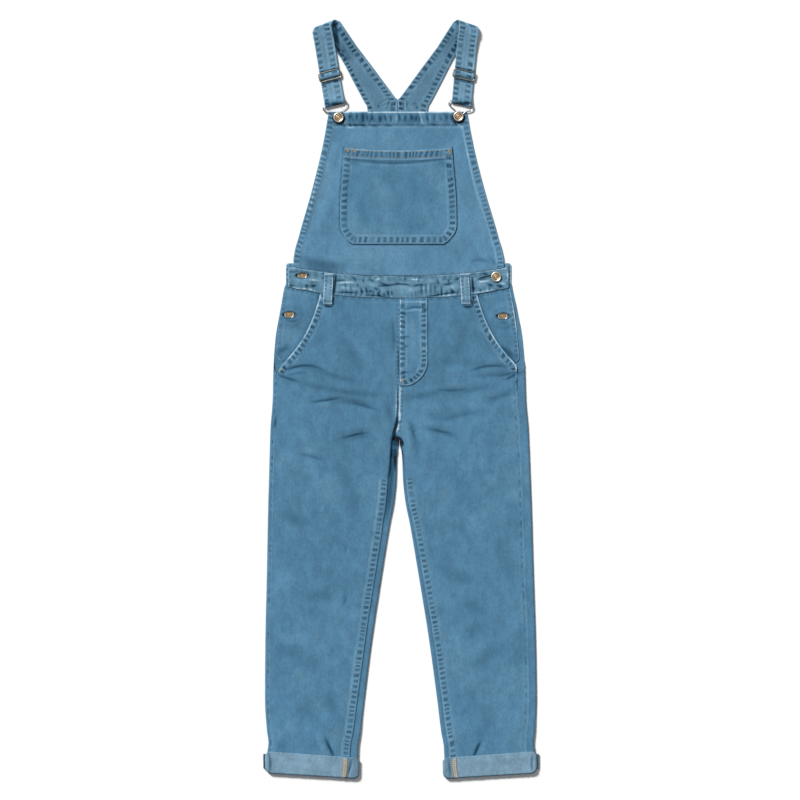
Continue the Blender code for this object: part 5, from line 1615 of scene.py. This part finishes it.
class StrapWay:
    """Where a strap runs, on the wearer's left. The other side is mirrored when points are placed."""

    def __init__(self, side):
        way = STRAP_WAYS[side]
        self.sign = SIDES[side]
        self.base = Vector((way.base_x, way.base_y))
        self.back = Vector((way.back_x, way.fold_y))
        self.front = Vector((way.front_x, way.fold_y))
        self.bar = Vector((way.bar_x, way.bar_y))
        self.up = (self.back - self.base).normalized()
        self.down = (self.bar - self.front).normalized()
        self.fold = (self.up + self.down).normalized()
        self.beyond = Vector((-self.fold.y, self.fold.x))
        self.across_back = Vector((self.up.y, -self.up.x))
        self.across_front = Vector((-self.down.y, self.down.x))
        turn = math.radians(way.bar_turn)
        self.across_bar = Vector((math.cos(turn), -math.sin(turn)))

    def place(self, flat, z):
        return (centre(flat.y) + self.sign * flat.x, flat.y, z)

    def folded(self, along, across):
        flat = self.base + self.up * along + self.across_back * across
        offset = flat - self.back
        beyond = offset.dot(self.beyond)
        side = offset.dot(self.fold)
        radius = STRAP_FOLD_RADIUS
        turn = beyond / radius
        if turn <= 0.0:
            out, rise = beyond, 0.0
        elif turn < math.pi:
            out, rise = radius * math.sin(turn), radius * (1.0 - math.cos(turn))
        else:
            out, rise = math.pi * radius - beyond, 2.0 * radius
        drift = (self.front - self.back).dot(self.fold) * float(smooth(beyond, -4.0, math.pi * radius + 4.0))
        return self.place(self.back + self.fold * (side + drift) + self.beyond * out, STRAP + rise)

    def upper(self, up, across, z):
        turned = float(smooth(up, TURNED_BELOW[1], TURNED_BELOW[0]))
        sideways = self.across_front.lerp(self.across_bar, turned).normalized()
        return self.place(self.bar - self.down * up + sideways * across, z)


# Where a strap's columns are, from its first edge at -1 to its second at 1.
STRAP_SEATS = (-1, -0.96, -0.92, -0.86, -0.79, -0.71, -0.62, -0.52, -0.42, -0.28, -0.1)
STRAP_SEATS += tuple(-seat for seat in STRAP_SEATS[::-1])


def base_row(place):
    """The inner and outer ends of a row across a strap's base, from its number among the lines."""
    number = range(len(STRAP_BASE))
    inner_x, inner_y, outer_x, outer_y = (float(through([(k, STRAP_BASE[k][part]) for k in number], place))
                                          for part in range(4))
    return Vector((inner_x, inner_y)), Vector((outer_x, outer_y))


STRAP_EVEN = 20.0  # how far above its base a strap has its even width


def strap_rows(way):
    """The rows of a strap's hollow face: base, back layer, fold, front layer and return."""
    half = STRAP_WIDTH / 2
    rows = []
    for place in np.arange(0, len(STRAP_BASE) - 1 + 1e-6, 0.1):
        inner, outer = base_row(place)
        rows.append([way.place(inner.lerp(outer, (1.0 + seat) / 2), STRAP) for seat in STRAP_SEATS])
    fold_at = (way.back - way.base).length
    start = np.array(rows[-1])
    first = np.array([way.folded(STRAP_EVEN, half * seat) for seat in STRAP_SEATS])
    rows += [list(map(tuple, blend(start, first, part))) for part in (0.15, 0.3, 0.45, 0.6, 0.75, 0.9)]
    before = steps(STRAP_EVEN, fold_at - 6.0, 2.0)
    for along in np.concatenate([before, steps(fold_at - 6.0, fold_at + 24.0, 0.9)[1:]]):
        rows.append([way.folded(along, half * seat) for seat in STRAP_SEATS])
    for up in np.concatenate([steps(122.0, 64.0, 2.0), steps(62.0, 43.0, 0.9), steps(42.0, 4.0, 1.9)]):
        level = float(through(STRAP_RISE, up))
        rows.append([way.upper(up, half * seat, level) for seat in STRAP_SEATS])
    for turn in spread(0.0, math.pi, 12):
        out = STRAP_BAR_RADIUS * math.sin(turn)
        level = STRAP + STRAP_BAR_RADIUS * (1.0 + math.cos(turn))
        rows.append([way.upper(-out, half * seat, level) for seat in STRAP_SEATS])
    for up in steps(3.0, STRAP_RETURN, 2.6):
        rows.append([way.upper(up, half * seat, STRAP) for seat in STRAP_SEATS])
    return np.array(rows)


# How far a strap's rows of stitches run from its first edge and from its second.
STRAP_ROWS = {"left": ((2.2, 10.2), (5.0, 13.6)), "right": ((4.6, 13.6), (2.0, 8.6))}


def strap(side):
    way = StrapWay(side)
    half = STRAP_WIDTH / 2
    points = strap_rows(way)
    grid = Grid(*np.moveaxis(points, -1, 0))
    middle = points[:, len(STRAP_SEATS) // 2]
    length = np.concatenate([[0.0], np.cumsum(np.linalg.norm(np.diff(middle, axis=0), axis=1))])[:, None]
    width = np.linalg.norm(points[:, -1] - points[:, 0], axis=1)[:, None]
    seats = np.array(STRAP_SEATS)[None, :]
    seed = {"left": 191, "right": 197}[side]
    along = np.broadcast_to(length, grid.x.shape)
    for number, away in enumerate(((seats + 1) / 2 * width, (1 - seats) / 2 * width)):
        edge = Seam(None, *STRAP_ROWS[side][number], 0.6, 1.0, 9.8, seed + number, 2.0)
        grid.sew(edge, measured=(away, along, length[-1, 0]))
    front = smooth(length, 200.0, 214.0)
    back = 1.0 - front
    # Radiating wrinkles at the point of the V, drawn in height and in a tone of painted light and shade.
    tip_x, tip_y = centre(556.0), 552.0
    tip = line_mark(np.hypot(grid.x - tip_x, (grid.y - tip_y) * 1.1), 26.0) * back
    spokes = np.arctan2(grid.y - tip_y - 12.0, grid.x - tip_x)
    rays = np.sin(spokes * 21.0 + 2.2 * wander(np.hypot(grid.x - tip_x, grid.y - tip_y) / 8.0, 33))
    rays = rays * (0.6 + 0.5 * wander(spokes * 5.0, 34))
    grid.height -= 0.4 * tip * rays
    grid.tone += 0.55 * tip * rays
    # The back layer is darker throughout, and darker still where the front layer lies over it, which is
    # painted shade.
    grid.tone -= back * (0.26 + 0.25 * smooth(length, 120.0, 150.0) * smooth(length, 190.0, 176.0))
    grid.crease(STRAP_MARKS, back)
    grid.ruffle(24.0, 0.0, 0.12, 31)
    on_front = centre(way.bar.y) + way.sign * way.bar.x
    # Painted shadow on the strap where it turns round the buckle's bar, and fainter just above it.
    up = (grid.y - way.bar.y) * front
    shade_at_bar = 2.0 * line_mark(up + 0.5, 2.2) + 0.5 * line_mark(up - 5.0, 3.0)
    grid.tone -= front * shade_at_bar * smooth(np.abs(grid.x - on_front), 21, 16)
    # Painted shade on the strap beside the slider's wires, and faintly under the slider.
    beside_slider = np.abs(up - SLIDER_UP + way.sign * (grid.x - on_front) * 0.24)
    grid.tone -= front * 1.5 * line_mark(beside_slider - SLIDER_HALF[1] - 1.8, 1.6)
    grid.tone -= front * 0.25 * line_mark(beside_slider, 7.0)
    added = np.clip(grid.height, -0.6, 0.35)
    rests_on = ["bib", "slider_" + side, "buckle_" + side]
    cloth_piece("strap_" + side, grid, STRAP + added * front, "strap", rests_on, held="folded",
                grows_up=False, raised=added * back)
    for edge, insets in zip((-1, 1), STRAP_ROWS[side]):
        for inset in insets:
            seat = edge * (half - inset)
            stitch([way.upper(up, seat, 0) for up in steps(124.0, 6.0, 6.0)])
            line = []
            for place in spread(1, len(STRAP_BASE) - 1, 12):
                inner, outer = base_row(place)
                part = inset / (outer - inner).length
                line.append(way.place(inner.lerp(outer, part if edge < 0 else 1.0 - part), 0))
            stitch(line + [way.folded(up, seat) for up in (STRAP_EVEN, 40.0, 56.0)])


# ---------------------------------------------------------------- buttonholes

BUTTONHOLES = []


def lens_points(middle, half_length, half_width, turn, count):
    angle = np.linspace(0, 2 * math.pi, count, endpoint=False)
    along = np.cos(angle) * half_length
    across = np.sin(angle) * np.abs(np.sin(angle)) ** LENS_POINT * half_width
    x = middle[0] + along * math.cos(turn) - across * math.sin(turn)
    return together(x, middle[1] + along * math.sin(turn) + across * math.cos(turn))


def cut_buttonhole(target, middle, half_length, half_width, turn=0.0):
    """Cuts a spread buttonhole through a shell and notes its satin stitches."""
    shape = bmesh.new()
    low = [shape.verts.new((x * MM, y * MM, -0.002))
           for x, y in lens_points(middle, half_length, half_width, turn, 40)]
    moved = bmesh.ops.extrude_face_region(shape, geom=[shape.faces.new(low)])
    for corner in [item for item in moved["geom"] if isinstance(item, bmesh.types.BMVert)]:
        corner.co.z = 0.02
    bmesh.ops.recalc_face_normals(shape, faces=shape.faces)
    mesh = bpy.data.meshes.new("buttonhole")
    shape.to_mesh(mesh)
    shape.free()
    cutter = add_object("buttonhole", mesh)
    hole = target.modifiers.new("buttonhole", "BOOLEAN")
    hole.object = cutter
    hole.solver = "EXACT"
    made = bpy.data.meshes.new_from_object(target.evaluated_get(bpy.context.evaluated_depsgraph_get()))
    target.modifiers.clear()
    target.data = made
    bpy.data.objects.remove(cutter, do_unlink=True)
    BUTTONHOLES.append((lens_points(middle, half_length, half_width, turn, 84),
                        lens_points(middle, half_length + 2.4, half_width + 2.2, turn, 84)))


# ---------------------------------------------------------------- sewing


STITCH_SIDES = 5
TACK_RADIUS = 0.3


def stitch_shape():
    """One stitch, which dips into the cloth at both ends: points as (along, across, up), and faces."""
    sides = STITCH_SIDES
    rings = ((-0.5, 0.35, -0.5), (-0.36, 0.85, 0.15), (0.0, 1.0, 0.45), (0.36, 0.85, 0.15), (0.5, 0.35, -0.5))
    turns = [2 * math.pi * side / sides for side in range(sides)]
    points = [(along, size * math.cos(turn), up + size * math.sin(turn)) for along, size, up in rings
              for turn in turns]
    faces = [tuple(range(sides)), tuple(range(len(points) - 1, len(points) - 1 - sides, -1))]
    for ring in range(len(rings) - 1):
        for side in range(sides):
            a, b = ring * sides + side, ring * sides + (side + 1) % sides
            faces.append((a, a + sides, b + sides, b))
    return np.array(points), faces


def top_of_cloth():
    """A search tree of all the cloth, to lay thread on."""
    points = []
    faces = []
    for made in SHELLS:
        count = len(points)
        places = np.empty(len(made.data.vertices) * 3)
        made.data.vertices.foreach_get("co", places)
        points += places.reshape(-1, 3).tolist()
        faces += [[index + count for index in face.vertices] for face in made.data.polygons]
    return BVHTree.FromPolygons(points, faces)


def drop(tree, x, y):
    """The point of the cloth straight below a place in the plan, and its normal."""
    hit, normal, _, _ = tree.ray_cast(Vector((x * MM, y * MM, 0.05)), Vector((0, 0, -1)))
    if hit is None:
        return None
    return np.array(hit) / MM, np.array(normal if normal.z > 0 else -normal)


def laid(tree, start, end, step):
    """Where a thread between two places of the plan lies on the cloth, unless it would cross a step."""
    first, second = drop(tree, *start), drop(tree, *end)
    if first is None or second is None or abs(first[0][2] - second[0][2]) > step:
        return []
    return [(first[0], second[0], first[1] + second[1])]


def run_of_stitches(tree, path, drawn):
    length = np.concatenate([[0.0], np.cumsum(np.hypot(*np.diff(path, axis=0).T))])
    places = []
    for number in range(int(length[-1] / STITCH_PITCH)):
        ends = [(number + 0.5 + half * drawn) * STITCH_PITCH for half in (-0.5, 0.5)]
        start, end = ([np.interp(at, length, path[:, 0]), np.interp(at, length, path[:, 1])] for at in ends)
        places += laid(tree, start, end, 1.2)
    return places


def bar_tack(tree, tack):
    """The close threads of a bar tack, laid across its length."""
    places = []
    turn = math.radians(tack.turn)
    along = np.array([math.cos(turn), math.sin(turn)])
    across = np.array([-along[1], along[0]]) * tack.width / 2
    middle = on_plan((tack.x, tack.y))[0]
    count = int(tack.length / TACK_PITCH)
    for number in range(count):
        at = middle + along * (number - (count - 1) / 2) * TACK_PITCH
        places += laid(tree, at - across - along * 0.15, at + across + along * 0.15, 2.0)
    return places


def threads(name, places, look, radius):
    """Stitches from one place to another, joined into one mesh."""
    shape, faces = stitch_shape()
    points = []
    all_faces = []
    for start, end, up in places:
        way = end - start
        length = np.linalg.norm(way)
        if length < 0.2:
            continue
        way = way / length
        up = up - way * np.dot(up, way)
        up = up / np.linalg.norm(up)
        side = np.cross(up, way)
        base = len(points) * len(shape)
        middle = (start + end) / 2 + up * radius * 0.35
        placed = middle + shape[:, :1] * length * way
        points.append(placed + shape[:, 1:2] * radius * side + shape[:, 2:3] * radius * up)
        all_faces += [tuple(index + base for index in face) for face in faces]
    made = mesh_of(name, np.concatenate(points), all_faces, [LOOKS[look]])
    part_of_garment(made)


# Bar tacks: their place on the plan, length, width, turn in degrees and thread.
TACK_PITCH = 0.62
Tack = namedtuple("Tack", "x y length width turn thread")
TACKS = tuple(Tack(*row) for row in (
    (348, 150.3, 7, 4.5, 90, "tan"), (354.5, 150.6, 7, 3.5, 90, "tan"), (449.3, 151.3, 7, 4.5, 90, "tan"),
    (402.4, 380.8, 9, 3.0, 100, "tan"), (401.8, 389, 7, 3.0, 80, "blue"),
    (280, 370.5, 9, 3.0, 52, "tan"), (517.2, 367.5, 9, 3.0, -52, "tan"),
    (329.7, 274.8, 14, 2.6, 0, "blue"), (328.8, 302.5, 14, 2.6, 0, "blue"),
    (466.4, 274.8, 14, 2.6, 0, "blue"), (466.6, 302.5, 14, 2.6, 0, "blue"),
    (346.3, 121.5, 8, 2.4, -40, "blue"),
))


def sewing():
    tree = top_of_cloth()
    runs = {}
    for path, look, drawn in THREADS:
        runs.setdefault(look, []).extend(run_of_stitches(tree, path, drawn))
    for look, places in runs.items():
        threads("stitches_" + look.split()[0], places, look, STITCH_RADIUS)
    tacks = {}
    for tack in TACKS:
        tacks.setdefault(tack.thread, []).extend(bar_tack(tree, tack))
    for thread, places in tacks.items():
        threads("bar_tacks_" + thread, places, thread + " thread", TACK_RADIUS)
    satin = []
    for inner, outer in BUTTONHOLES:
        for start, end in zip(inner, outer):
            satin += laid(tree, blend(start, end, 0.06), end, 1.3)
    threads("buttonhole_stitches", satin, "dark thread", STITCH_RADIUS)


# ---------------------------------------------------------------- metal


TOP_SHEEN = (0.55, 0.95)  # how far up a wire's side its painted highlight starts, and is full; lower down its tarnish colour is painted shade


def ring_tube(name, path, radius, place, turn, look, slot, node=None, flatten=1.0, sides=12):
    """A closed wire along a loop of the plan, turned and put in its place, with a painted highlight on top
    and painted shade on its sides.
    """
    radius = np.broadcast_to(radius, len(path))
    way = np.roll(path, -1, axis=0) - np.roll(path, 1, axis=0)
    way /= np.linalg.norm(way, axis=1, keepdims=True)
    out = np.stack([way[:, 1], -way[:, 0]], axis=1)
    angle = np.arange(sides) / sides * 2 * math.pi
    flat = path[:, None, :] + out[:, None, :] * (radius[:, None] * np.cos(angle))[..., None]
    high = radius[:, None] * np.sin(angle) * flatten
    x = place[0] + flat[..., 0] * math.cos(turn) - flat[..., 1] * math.sin(turn)
    y = place[1] + flat[..., 0] * math.sin(turn) + flat[..., 1] * math.cos(turn)
    points = together(x, y, place[2] + high).reshape(-1, 3)
    numbers = np.arange(len(points)).reshape(len(path), sides)
    beyond = np.roll(numbers, -1, axis=1)
    after = np.roll(numbers, -1, axis=0)
    faces = np.stack([beyond, numbers, after, np.roll(after, -1, axis=1)], axis=-1).reshape(-1, 4)
    rub_and_sheen = np.broadcast_to(smooth(np.sin(angle), *TOP_SHEEN), numbers.shape).reshape(-1)
    part_of_garment(mesh_of(name, points, faces, [LOOKS[look]], {"rub_and_sheen": rub_and_sheen}), node)


def fitting_place(side, up, level):
    way = StrapWay(side)
    return way.upper(up, 0.0, level), math.atan2(way.across_bar.y, way.across_bar.x) * way.sign


SLIDER_INSET = 1.4  # from the slider's outline to the middle of its wire
SLIDER_CORNER = 4.2
SLIDER_WIRE = (1.05, 1.45)  # the wire's radius above and below
SLIDER_BAR_WIRE = 0.55
SLIDER_BAR_HALF = 0.9  # half the bar's width


def slider(side):
    """A slider's frame of bent wire, thicker below, and the bar that the strap covers."""
    place, turn = fitting_place(side, SLIDER_UP, SLIDER_CENTRE)
    half_x, half_y = (half - SLIDER_INSET for half in SLIDER_HALF)
    corner = SLIDER_CORNER
    path = []
    for number, (to_x, to_y) in enumerate(((1, 1), (-1, 1), (-1, -1), (1, -1))):
        for angle in spread(number * math.pi / 2, (number + 1) * math.pi / 2, 8):
            path.append((to_x * (half_x - corner) + corner * math.cos(angle),
                         to_y * (half_y - corner) + corner * math.sin(angle)))
    full = []
    for first, second in zip(np.array(path), np.roll(path, -1, axis=0)):
        count = max(int(np.hypot(*(second - first)) / 1.5), 1)
        full += [blend(first, second, part) for part in np.arange(count) / count]
    full = np.array(full)
    radius = blend(*SLIDER_WIRE, smooth(-full[:, 1], -2.0, half_y))
    bronze = (place, turn, "bronze", "antique_bronze")
    ring_tube("slider_%s_frame" % side, full, radius, *bronze, "slider_" + side, flatten=0.85)
    reach = np.linspace(0.6 - half_x, half_x - 0.6, 16)
    bar = np.concatenate([together(reach, SLIDER_BAR_HALF)[::-1], together(reach, -SLIDER_BAR_HALF)])[::-1]
    ring_tube("slider_%s_bar" % side, bar, SLIDER_BAR_WIRE, *bronze, flatten=0.9, sides=8)


BUCKLE_REACH = 23.5  # from a buckle's bar to the button's middle, as its outline is drawn
BUCKLE_END = 29.0  # from its bar to the end of its loop


def buckle(side):
    """A buckle of bent wire, wide at the strap and narrow round the button's stem."""
    place, turn = fitting_place(side, 0.0, STRAP + STRAP_BAR_RADIUS)
    x, y = place_of(BIB_BUTTONS, side)
    reach = math.hypot(x - place[0], y - place[1]) / BUCKLE_REACH
    outline = [(out, -down * reach) for out, down in BUCKLE_HALF]
    outline += [(0.0, -BUCKLE_END * reach)] + [(-out, down) for out, down in outline[::-1]]
    path = smooth_path(outline, 5, closed=True)
    ring_tube("buckle_%s_wire" % side, path, WIRE, place, turn, "nickel", "nickel_wire", "buckle_" + side)


# A button's face from the centre out: the radius, how far below the rim it lies, and how bright it is rubbed.
BUTTON_FACE = (
    (1.3, 0.5, 1.0), (2.0, 0.8, 0.5), (2.7, 0.95, 0.1), (3.4, 0.7, 0.7), (4.1, 0.55, 1.0), (4.8, 0.7, 0.5),
    (5.6, 1.0, 0.0), (6.3, 0.85, 0.3), (7.0, 0.25, 0.9), (7.7, 0.0, 1.0), (8.4, 0.05, 1.0), (9.1, 0.35, 0.8),
)


BUTTON_SIDES = 48
CENTRE_RINGS = 7  # the rings of a button's face that have the centre's look


def button(node, middle, seat, stem_height, cap=BUTTON_CAP):
    """A turned button with a rolled rim, a groove, a raised ring and a domed centre, flatter under a hole."""
    top = seat + stem_height + cap
    rim = BUTTON_RADIUS
    depth = 1.0 if stem_height > 0 else 0.5
    profile = [(radius, top - depth * drop) for radius, drop, _ in BUTTON_FACE]
    profile += [(rim, top - 0.95), (rim - 0.25, top - cap + 0.35)]
    rubs = [rub_and_sheen for _, _, rub_and_sheen in BUTTON_FACE] + [0.2, 0.0]
    if stem_height > 0:
        profile += [(rim - 1.2, top - cap), (BUTTON_STEM, top - cap), (BUTTON_STEM, seat)]
    else:
        profile += [(rim - 1.0, seat)]
    rubs += [0.0] * (len(profile) - len(rubs))
    sides = BUTTON_SIDES
    angle = np.arange(sides) / sides * 2 * math.pi
    rings = np.array(profile)
    x = middle[0] + rings[:, :1] * np.cos(angle)
    y = middle[1] + rings[:, :1] * np.sin(angle)
    points = together(x, y, rings[:, 1:]).reshape(-1, 3)
    points = np.concatenate([points, [(*middle, top - 0.45 * depth), (*middle, seat)]])
    faces = []
    looks = []
    for side in range(sides):
        after = (side + 1) % sides
        faces.append((len(points) - 2, side, after))
        looks.append(1)
        for ring in range(len(rings) - 1):
            a, b = ring * sides + side, ring * sides + after
            faces.append((a, a + sides, b + sides, b))
            looks.append(1 if ring < CENTRE_RINGS else 0)
        last = (len(rings) - 1) * sides
        faces.append((len(points) - 1, last + after, last + side))
        looks.append(0)
    rub_and_sheen = np.append(np.repeat(rubs, sides), [1.0, 0.0])
    made = mesh_of(node + "_metal", points, faces, [LOOKS["copper"], LOOKS["copper centre"]], {"rub_and_sheen": rub_and_sheen},
                   looks)
    part_of_garment(made, node)


def metal():
    for side in SIDES:
        slider(side)
        buckle(side)
        stem = STRAP + STRAP_BAR_RADIUS + WIRE - HEMMED
        button("bib_button_" + side, place_of(BIB_BUTTONS, side), HEMMED + GAP, stem)
        button("hip_button_" + side, place_of(HIP_BUTTONS, side), CLOTH + GAP, 0.0, BUTTON_SEAT)
    button("waist_button_left", place_of(WAIST_BUTTONS, "left"), STRAP + HEMMED + 2 * GAP, 0.8)
    button("waist_button_right", place_of(WAIST_BUTTONS, "right"), STRAP + GAP, 0.0, BUTTON_SEAT)


# ---------------------------------------------------------------- floor, light and camera

# From here on, lengths are in metres.
FRAME_WIDTH = 1.480  # what the camera sees across
FRAME_MIDDLE = (-0.00185, -0.00139)
CAMERA_UP = 12.0
SENSOR = 36.0
FLOOR_HALF = 6.0
FLOOR_AT = -0.0002
FLOOR_GREYS = ((0.95, 0.95, 0.95), (0.965, 0.965, 0.965))
SKY = 0.26
SUN = 4.0
SUN_HEIGHT = math.radians(40)
SUN_FROM = math.radians(130)
SUN_SIZE = math.radians(14)


def floor():
    mesh = bpy.data.meshes.new("floor")
    corners = [(x * FLOOR_HALF, y * FLOOR_HALF, 0) for x, y in ((-1, -1), (1, -1), (1, 1), (-1, 1))]
    mesh.from_pydata(corners, [], [(0, 1, 2, 3)])
    made = add_object("floor", mesh)
    made.location.z = FLOOR_AT
    look, tree, shader, place = new_look("floor_paper", 0.9)
    paint(tree, shader, mix(tree, grain(tree, place, (3, 3, 3), 2.0), *FLOOR_GREYS))
    shader.inputs["Specular IOR Level"].default_value = 0.1
    mesh.materials.append(look)


def studio():
    world = bpy.data.worlds.new("studio")
    world.use_nodes = True
    back = world.node_tree.nodes["Background"]
    back.inputs["Color"].default_value = (0.98, 0.99, 1.0, 1.0)
    back.inputs["Strength"].default_value = SKY
    bpy.context.scene.world = world
    light = bpy.data.lights.new("key", "SUN")
    light.energy = SUN
    light.angle = SUN_SIZE
    light.color = (1.0, 0.995, 0.985)
    key = add_object("key", light)
    flat = math.cos(SUN_HEIGHT)
    toward = Vector((flat * math.cos(SUN_FROM), flat * math.sin(SUN_FROM), math.sin(SUN_HEIGHT)))
    key.rotation_euler = toward.to_track_quat("Z", "Y").to_euler()
    key.location = toward * 3.0
    bpy.context.scene.view_settings.view_transform = "Standard"
    camera = bpy.data.cameras.new("camera")
    camera.sensor_width = SENSOR
    camera.lens = SENSOR * CAMERA_UP / FRAME_WIDTH
    camera.clip_end = 100.0
    made = add_object("camera", camera)
    made.location = (*FRAME_MIDDLE, CAMERA_UP)
    bpy.context.scene.camera = made


# ---------------------------------------------------------------- the garment


def main():
    for side in SIDES:
        back_leg(side)
        front_leg(side)
        hip_facing(side)
        cuff(side, "back")
        cuff(side, "front")
        belt_loop(side)
        strap(side)
    fly()
    back_bib()
    back_waistband()
    front_waistband()
    bib()
    bib_pocket()
    sewing()
    metal()
    floor()
    studio()


main()
